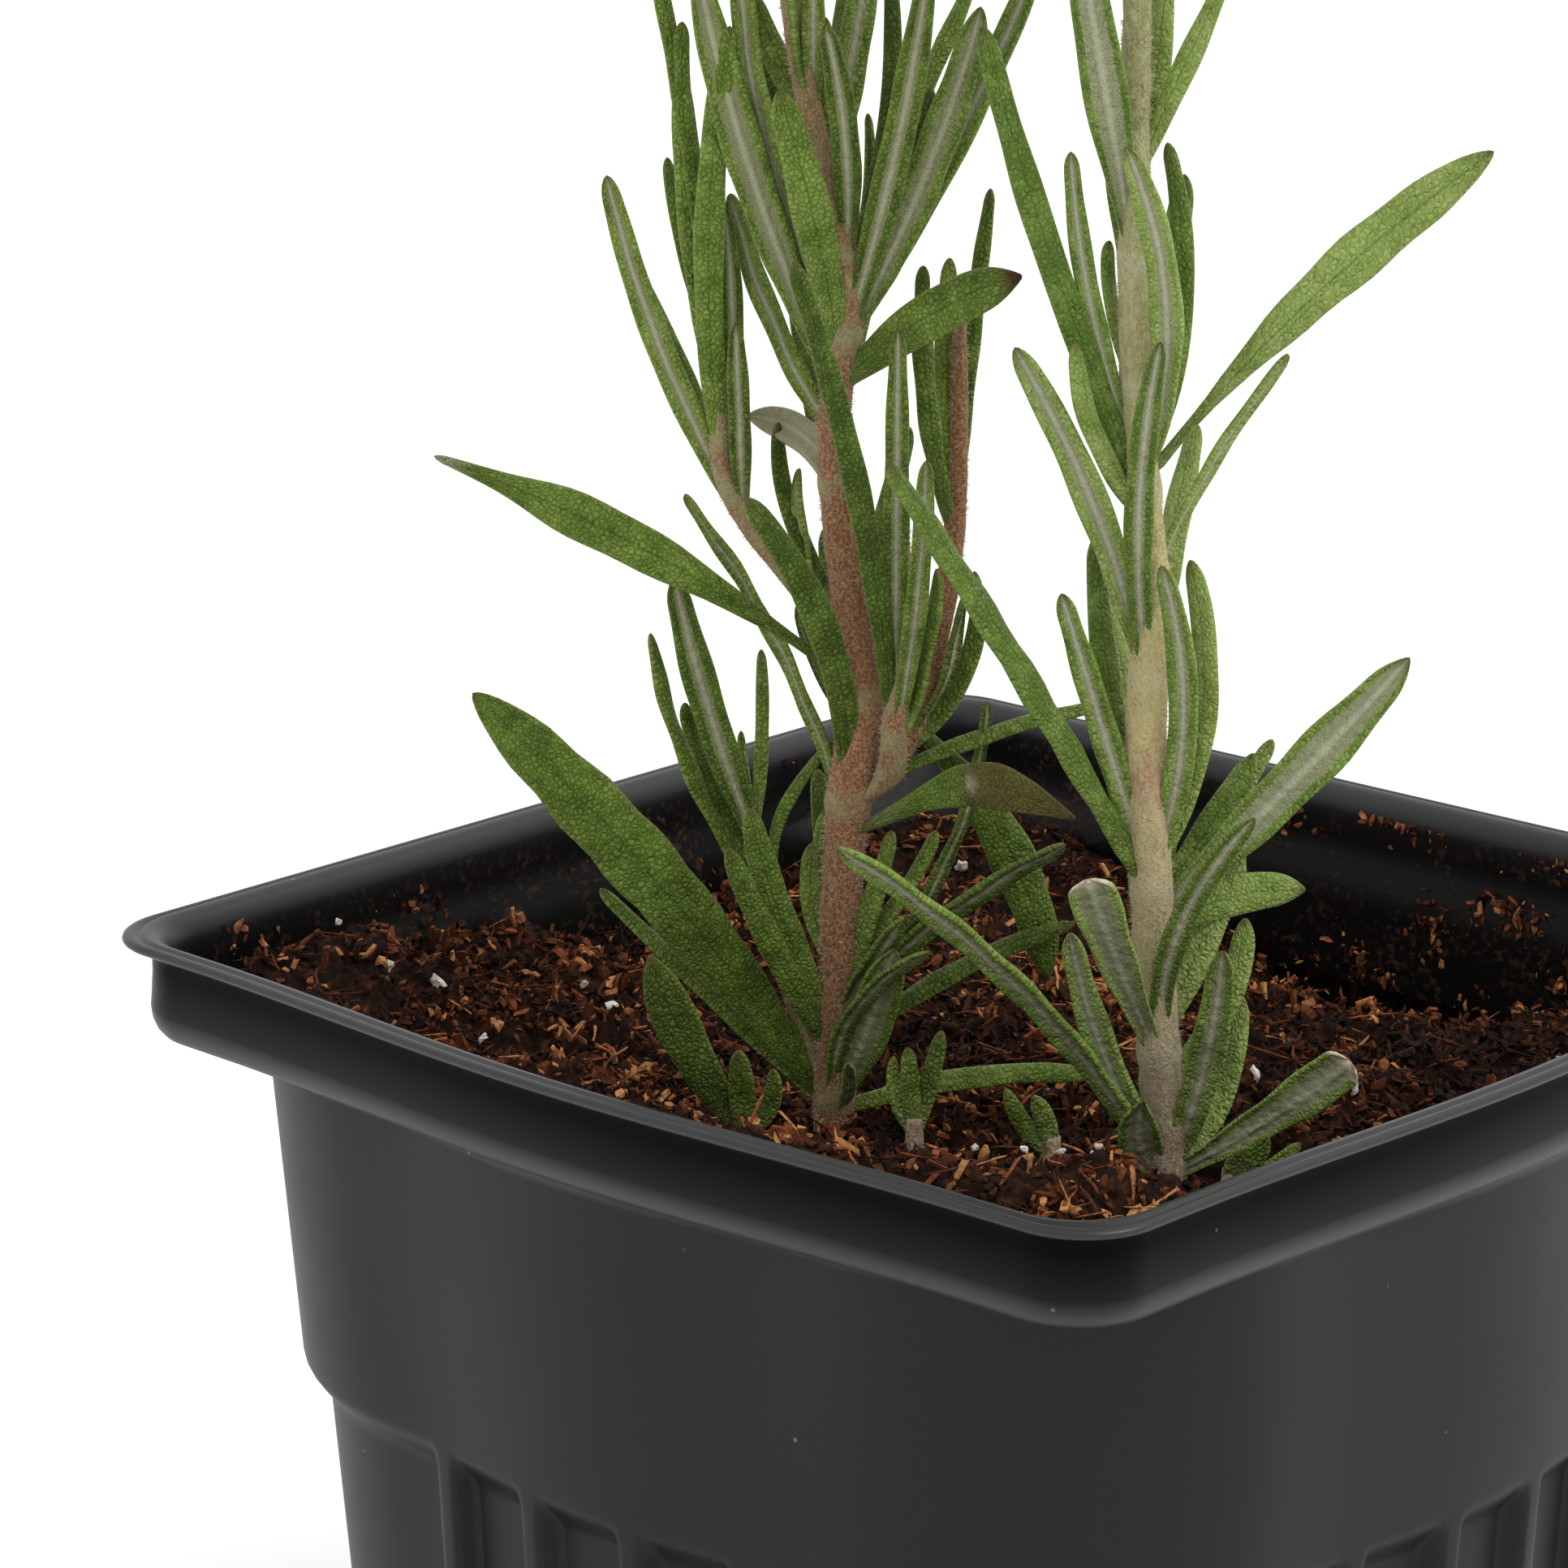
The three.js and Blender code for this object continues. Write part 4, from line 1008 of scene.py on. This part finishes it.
def leafShaper(leaf, path, foot, own):  # gives a leaf's middle and frame at a share of its length
    up, across, rise, front, width, face, bow = leaf[:7]
    bend = leaf[7] if len(leaf) > 7 else 0
    beaked, cut, kinked, stalked = (mark in leaf for mark in ("beaked", "cut", "kinked", "stalked"))
    stemAcross, stemFront, _ = stemPoint(path, up)
    root = layoutPoint(foot[0] + stemAcross, foot[1] + stemFront, footHeight + up)
    reach = layoutPoint(across, front, rise)
    length = reach.length
    tip = root + reach
    along = reach.normalized()
    arch = (upAxis - along * upAxis.dot(along)).normalized()
    leftward = frontAxis.cross(along).normalized()
    kink = 3 if kinked else 1
    swerve = (arch * bend + leftward * bow) * length * (1 + kink) / (2 * kink)
    middle = root.lerp(tip, 0.64 if kinked else 0.5) + swerve
    upper = arch * (1 - abs(face)) + frontAxis * face + upAxis * (0.25 * face)
    capShare = leafForm["blunt"] if beaked or cut else leafForm["rounded"]
    capFrom = 1 - min(capShare * width / length, leafForm["longestCap"])
    twist = own.uniform(-leafForm["twist"], leafForm["twist"])
    phase, beat = own.uniform(0, wholeTurn), own.uniform(0.5, 1.1)

    def ringAt(t):
        tangent = ((middle - root) * (1 - t) + (tip - middle) * t).normalized()
        side = tangent.cross(upper).normalized()
        side.rotate(Matrix.Rotation(math.radians(twist) * t, 3, tangent))
        cap = max(1 - (max(t - capFrom, 0) / (1 - capFrom)) ** 2.1, 0) ** 0.62
        parts = ((1 - t) ** 2, kink * 2 * t * (1 - t), t * t)
        centre = (root * parts[0] + middle * parts[1] + tip * parts[2]) / sum(parts)
        wobble = 1 + 0.05 * math.sin(phase + beat * t * length)
        along = max(t - 0.2, 0) / 0.8 if stalked else t * (0.6 if cut else 1)
        taper = 1 - leafForm["beakTaper"] * beaked * smoothStep(*leafForm["beak"], t)
        share = widthShare(along, width) * taper
        return centre, side * (width / 2 * share * cap * wobble), side.cross(tangent), cap
    return ringAt, length


def tipShare(name, length, down):  # 1 at the tip, 0 further down than the mark reaches
    far, near = leafForm[name]
    return smoothStep(length - far, length - near, down)


def makeLeaves(bm, entries, own):  # entries are (leaf, path, foot)
    leafPlace = bm.verts.layers.float_vector.new("leafPlace")
    leafLook = bm.verts.layers.float_vector.new("leafLook")
    leafDry, leafEnd, leafPoint = (bm.verts.layers.float.new(name)
                                   for name in ("leafDry", "leafEnd", "leafPoint"))
    around, rings = leafForm["around"], leafForm["rings"]
    bmesh.ops.create_uvsphere(bm, u_segments=around, v_segments=rings, radius=1)
    spots = []  # each point's ring, its share of the half width and its side of the blade
    for vert in bm.verts:
        x, y, z = vert.co
        flat = math.hypot(x, y)
        spots.append((round(z, 3), 0 if flat < 1e-5 else x / flat, y >= -1e-6, flat < 1e-5))
    fromTip = {z: 0.5 - math.asin(min(max(z, -1), 1)) / math.pi for z, *_ in spots}
    shares = {z: 1 - part ** leafForm["crowding"] for z, part in fromTip.items()}
    for verts, (leaf, path, foot) in zip(copyShape(bm, len(entries)), entries):
        width = leaf[4]
        thick = max(leafForm["thick"] * min(1, width / leafForm["fullWidth"]), leafForm["minThick"])
        wave, phase, tone = own.uniform(*leafForm["wave"]), own.uniform(0, wholeTurn), own.random()
        tone = leafForm["darkTone"] if "dark" in leaf else tone
        ringAt, length = leafShaper(leaf, path, foot, own)
        skinRings = {z: ringAt(t) for z, t in shares.items()}
        skin = {}  # height and felt at each place round the blade
        for vert, (z, c, upperSide, pole) in zip(verts, spots):
            centre, side, normal, cap = skinRings[z]
            if (c, upperSide) not in skin:
                felt = 0 if upperSide else smoothStep(0.8, 1.1, (1 - abs(c)) / rolledShare(width))
                skin[c, upperSide] = section(c, upperSide, width) * thick, 1 if "woolly" in leaf else felt
            height, felt = skin[c, upperSide]
            down = shares[z] * length
            lift = (0 if pole else height * (0.35 + 0.65 * cap)) + wave * math.sin(phase + down * 0.9 + c)
            vert.co = (centre + side * c + normal * lift) * mm
            vert[leafPlace] = (c * width / 2, down, tone * 60)
            vert[leafLook] = (abs(c), felt, tone)
            vert[leafPoint] = tipShare("point", length, down)
            if "dry" in leaf:
                vert[leafDry] = tipShare("dryTip", length, down)
            if "cut" in leaf:
                vert[leafEnd] = tipShare("cutTip", length, down)
            if "woolly" in leaf:
                vert[leafEnd] = 0.3
            if "beaked" in leaf:
                vert[leafEnd] = 0.45 * tipShare("beakTip", length, down)
            if "kinked" in leaf:  # a healed scar at the kink, with brown skin round it
                past = down / length - leafForm["kinkPlace"]
                vert[leafDry] = 0.6 * smoothStep(-0.13, -0.01, past)
                vert[leafEnd] = 0.8 * math.exp(-(past / 0.035) ** 2 - (c / 0.4) ** 2)


stems = {
    "segments": 20, "steps": 300, "sideSteps": 90, "smallSteps": 20, "rough": 0.12, "sideRough": 0.1,
    "nodeReach": 1.1, "nodeSwell": 0.09,
}
hairs = {
    "perLength": 80, "sidePerLength": 55, "long": 0.5, "sideLong": 0.45, "thick": 0.03, "upTo": 84,
    "lean": 0.45, "turn": 6.283, "quickShare": 0.3,
}


def stemLayers(bm):
    return {name: bm.verts.layers.float.new(name) for name in ("stemUp", "stemFelt", "stemMade")}


def makeStem(bm, layers, path, foot, steps, rough, nodes=(), felt=0):
    made = bmesh.ops.create_cone(bm, cap_ends=True, segments=stems["segments"], radius1=1, radius2=1,
                                 depth=1)
    edges = {e for v in made["verts"] for e in v.link_edges}
    uprights = [e for e in edges if abs(e.verts[0].co.z - e.verts[1].co.z) > 0.5]
    bmesh.ops.subdivide_edges(bm, edges=uprights, cuts=steps)
    low, high = path[0][0], path[-1][0]
    for vert in [v for v in bm.verts if not v[layers["stemMade"]]]:
        up = low + (high - low) * (vert.co.z + 0.5)
        across, front, radius = stemPoint(path, up)
        atNode = min(sum(math.exp(-((up - node) / stems["nodeReach"]) ** 2) for node in nodes), 1)
        ridges = noise.noise(Vector((vert.co.x * 2.2, vert.co.y * 2.2, up * 0.16)))
        lumps = noise.noise(Vector((vert.co.x * 1.2, vert.co.y * 1.2, up * 0.6 + 9)))
        radius *= 1 + rough * ridges + 0.7 * rough * lumps + stems["nodeSwell"] * atNode
        vert.co = layoutPoint(foot[0] + across + radius * vert.co.x, foot[1] + front + radius * vert.co.y,
                              footHeight + up) * mm
        vert[layers["stemUp"]] = up
        vert[layers["stemFelt"]] = max(atNode, felt)
        vert[layers["stemMade"]] = 1


def makeHairs(bm, path, foot, low, high, count, long, own):  # short pale hairs on a stem
    bmesh.ops.create_cone(bm, cap_ends=True, segments=3, radius1=1, radius2=0, depth=1)
    bmesh.ops.remove_doubles(bm, verts=bm.verts, dist=1e-4)
    rest = [vert.co.copy() for vert in bm.verts]
    thick, spread = hairs["thick"], hairs["lean"]
    for verts in copyShape(bm, count):
        up, angle = own.uniform(low, high), own.uniform(0, hairs["turn"])
        across, front, radius = stemPoint(path, up)
        outward = layoutPoint(math.cos(angle), math.sin(angle), 0)
        start = layoutPoint(foot[0] + across, foot[1] + front, footHeight + up) + outward * radius * 0.97
        lean = Vector((own.gauss(0, spread), own.gauss(0, spread), own.gauss(0.1, 0.5)))
        turn = (outward + lean).to_track_quat("Z", "Y")
        size = long * own.uniform(0.5, 1.15)
        for vert, co in zip(verts, rest):
            hair = Vector((co.x * thick, co.y * thick, (co.z + 0.5) * size))
            hair.rotate(turn)
            vert.co = (start + hair) * mm


def makePlant(plant, skin, bark, hair):
    draw, own = seededRandom(plant["seed"]), random.Random(plant["wobbleSeed"])
    foot, name, main = plant["foot"], plant["name"], plant["main"]
    leaves = main["leaves"] + rearLeaves(draw) + crownLeaves(*plant["crown"], draw)
    entries = [(leaf, main["path"], foot) for leaf in leaves]
    for shoot in plant["sides"]:
        entries += [(leaf, shoot["path"], foot) for leaf in shoot["leaves"]]
    bm = bmesh.new()
    makeLeaves(bm, entries, own)
    finishPiece(bm, name + "_leaves", [skin], [name])
    bm = bmesh.new()
    layers = stemLayers(bm)
    makeStem(bm, layers, main["path"], foot, stems["steps"], stems["rough"], plant["nodes"])
    for shoot in plant["sides"]:
        makeStem(bm, layers, shoot["path"], foot, stems["sideSteps"], stems["sideRough"], (), shoot["felt"])
    finishPiece(bm, name + "_stem", [bark], [name])
    share = 1
    bm = bmesh.new()
    count = int(hairs["upTo"] * hairs["perLength"] * share)
    makeHairs(bm, main["path"], foot, 0, hairs["upTo"], count, hairs["long"], own)
    finishPiece(bm, name + "_hairs", [hair], [name], smooth=False)
    for number, shoot in enumerate(plant["sides"], 1):
        low, high = shoot["path"][0][0] + 2, shoot["path"][-1][0]
        bm = bmesh.new()
        count = int((high - low) * hairs["sidePerLength"] * share)
        makeHairs(bm, shoot["path"], foot, low, high, count, hairs["sideLong"], own)
        sideName = name + "_side_hairs_" + str(number)
        finishPiece(bm, sideName, [hair], [name], smooth=False)


def makeSmallShoot(shoot, skin, bark):
    foot, name = shoot["foot"], shoot["name"]
    bm = bmesh.new()
    entries = [(leaf, smallStem, foot) for leaf in shoot["leaves"]]
    makeLeaves(bm, entries, random.Random(shoot["wobbleSeed"]))
    finishPiece(bm, name + "_leaves", [skin], [name])
    bm = bmesh.new()
    makeStem(bm, stemLayers(bm), smallStem, foot, stems["smallSteps"], stems["sideRough"])
    finishPiece(bm, name + "_stem", [bark], [name])


# Leaf skin: pebbled and waxy green above, grey felt between green margins below
darkLeaf = {
    "name": "rosemaryLeaf", "greens": ("#465a12", "#657f28", "#869d46"), "pebbleHighlight": "#9caf62",
    "felts": ("#565a35", "#797d55", "#a0a381"), "rib": "#b9bca3", "creaseShadeShare": 0.55,
}
# painted light: the right plant's leaves are a lighter copy of the same skin, as if more lit, and their
# creases are painted fainter
litLeaf = {
    "name": "rosemaryLeafLit", "greens": ("#567020", "#7f9744", "#99ad5f"), "pebbleHighlight": "#aebf7c",
    "felts": ("#666a43", "#868966", "#adb192"), "rib": "#bfc2aa", "creaseShadeShare": 0.2,
}
leafColours = {
    "paintedCreaseShade": "#1f2d09", "midrib": "#25340c", "paleMarginAndSheen": "#86994c", "foot": "#8f9868", "point": "#6f6a33",
    "dry": "#5b3a1e", "scar": "#c9bfa6", "sheen": "#e6ecc8",
}


def leafSkin(look):
    material, tree = newMaterial(look["name"])
    place, source = (addNode(tree, "Attribute", output="Vector", attribute_name=name)
                     for name in ("leafPlace", "leafLook"))
    dry, end, point = (addNode(tree, "Attribute", output="Fac", attribute_name=name)
                       for name in ("leafDry", "leafEnd", "leafPoint"))
    down = addNode(tree, "SeparateXYZ", [place], "Y")
    across, felted, tone = addNode(tree, "SeparateXYZ", [source]).node.outputs
    # leafPlace is in millimetres: pebbles of 0.4, patches of 2.5, swells of 0.9 and felt of 0.1
    cells = addNode(tree, "TexVoronoi", {"Vector": place, "Scale": 2.5}, feature="DISTANCE_TO_EDGE")
    pebble = addNode(tree, "MapRange", (cells, 0, 0.34))
    patches, swells, fuzz = (addNode(tree, "TexNoise", {"Vector": place, "Scale": scale, "Detail": detail})
                             for scale, detail in ((0.4, 3), (1.1, 2), (11, 4)))
    tone = addNode(tree, "Math", (tone, addNode(tree, "MapRange", (patches, 0.3, 0.7, -0.28, 0.28))))
    # painted light and shade: the tone follows the swells of the bump, lighter where they rise and darker
    # where they sink
    tone = addNode(tree, "Math", (tone, addNode(tree, "MapRange", (swells, 0.3, 0.7, -0.16, 0.16))))
    green = addNode(tree, "ValToRGB", [tone], stops=list(zip((0, 0.5, 1), look["greens"])))
    felt = addNode(tree, "ValToRGB", [fuzz], stops=list(zip((0.3, 0.5, 0.72), look["felts"])))
    ribbed = layColours(tree, felt, [(across, 0.22, 0.06, 0, 0.4, look["rib"])])
    frayed = addNode(tree, "Math", (felted, addNode(tree, "MapRange", (fuzz, 0.3, 0.7, -0.3, 0.3))))
    raised = addNode(tree, "MapRange", (felted, 0, 1, 1, 0.05))
    raised = addNode(tree, "Math", (pebble, raised), operation="MULTIPLY")
    return finishMaterial(material, {
        "Base Color": layColours(tree, green, [
            # painted highlight on the tops of the pebbles
            (pebble, 0.3, 1, 0, 0.14, look["pebbleHighlight"]),
            # painted shade in the creases between the pebbles
            (pebble, 0, 0.32, look["creaseShadeShare"], 0, leafColours["paintedCreaseShade"]),
            (across, 0.1, 0, 0, 0.4, leafColours["midrib"]),
            # pale fuzz on the margins, with a painted sheen where the blade turns away at its edge
            (across, 0.8, 1, 0, 0.4, leafColours["paleMarginAndSheen"]),
            (down, 3.5, 0.5, 0, 0.5, leafColours["foot"]),
            (frayed, 0.25, 0.75, ribbed),
            (point, 0, 1, 0, 0.6, leafColours["point"]),
            (dry, leafColours["dry"]), (end, leafColours["scar"]),
        ]),
        "Roughness": 0.5, "Specular IOR Level": 0.22, "Sheen Weight": 0.06, "Sheen Roughness": 0.4,
        "Sheen Tint": leafColours["sheen"],
        "Normal": layBumps(tree, [(swells, 0.0006, 0.8), (raised, 0.00014, 1), (fuzz, 0.0001, 0.5)]),
    })


# Young bark: matt, streaked and downy, coloured by its height above the soil
brownBark = {
    "name": "brownBark", "from": -10, "to": 100, "streak": "#a58862", "felt": "#939a6e",
    "down": "#bf9f84", "downShare": 0.62, "sheen": "#e3d2c4",
    "stops": [(0, "#4d321b"), (0.12, "#734a26"), (0.3, "#7a4822"), (0.55, "#7c4c26"), (0.68, "#7c5f38"),
              (0.9, "#75713f")],
}
creamBark = {
    "name": "creamBark", "from": -5, "to": 100, "streak": "#cfc8a0", "felt": "#b9b79c",
    "down": "#cdc6ae", "downShare": 0.35, "sheen": "#e3d2c4",
    "stops": [(0.04, "#8c7560"), (0.13, "#a38d74"), (0.17, "#b5a67c"), (0.29, "#b8a678"), (0.33, "#a87f60"),
              (0.37, "#c0b272"), (0.5, "#b0a96c"), (0.7, "#9b9c62"), (1, "#5f6c34")],
}


def stemBark(look):
    material, tree = newMaterial(look["name"])
    place = addNode(tree, "TexCoord", output="Object")
    up, felted = (addNode(tree, "Attribute", output="Fac", attribute_name=name)
                  for name in ("stemUp", "stemFelt"))
    # grain of 0.3 mm, three times as long, patches of 1.7 mm, and tufts of down of 0.2 mm, which are
    # drawn coarser than they are
    long = addNode(tree, "Mapping", {"Vector": place, "Scale": (1, 1, 0.35)})
    grain = addNode(tree, "TexNoise", {"Vector": long, "Scale": 3000, "Detail": 4})
    patches = addNode(tree, "TexNoise", {"Vector": place, "Scale": 600, "Detail": 3})
    tufts = addNode(tree, "TexNoise", {"Vector": place, "Scale": 4600, "Detail": 2, "Roughness": 0.6})
    share = addNode(tree, "MapRange", (up, look["from"], look["to"]))
    moved = addNode(tree, "MapRange", (patches, 0.3, 0.7, -0.02, 0.02))
    moved = addNode(tree, "Math", (share, moved))
    worn = addNode(tree, "MapRange", (patches, 0.35, 0.6, 0.2, 1))
    worn = addNode(tree, "Math", (felted, worn), operation="MULTIPLY")
    return finishMaterial(material, {
        "Base Color": layColours(tree, addNode(tree, "ValToRGB", [moved], stops=look["stops"]), [
            (grain, 0.45, 0.75, 0, 0.5, look["streak"]),
            (tufts, 0.42, 0.66, 0, look["downShare"], look["down"]),
            (worn, 0.15, 0.9, 0, 0.62, look["felt"]),
        ]),
        "Roughness": 0.75, "Specular IOR Level": 0.12, "Sheen Weight": 0.3, "Sheen Tint": look["sheen"],
        "Normal": layBumps(tree, [(grain, 0.00025, 1), (tufts, 0.0002, 1)]),
    })


def paleHair():  # short white plant hairs
    material, tree = newMaterial("paleHair")
    place = addNode(tree, "TexCoord", output="Object")
    patches = addNode(tree, "TexNoise", {"Vector": place, "Scale": 900, "Detail": 1})  # 1.1 mm
    return finishMaterial(material, {
        "Base Color": addNode(tree, "ValToRGB", [patches], stops=[(0.35, "#8d775a"), (0.65, "#c4b99f")]),
        "Roughness": 0.7, "Specular IOR Level": 0.3,
    })


darkSkin, cream, hair = leafSkin(darkLeaf), stemBark(creamBark), paleHair()
makePlant(plants[0], darkSkin, stemBark(brownBark), hair)
makePlant(plants[1], leafSkin(litLeaf), cream, hair)
for shoot in smallShoots:
    makeSmallShoot(shoot, darkSkin, cream)
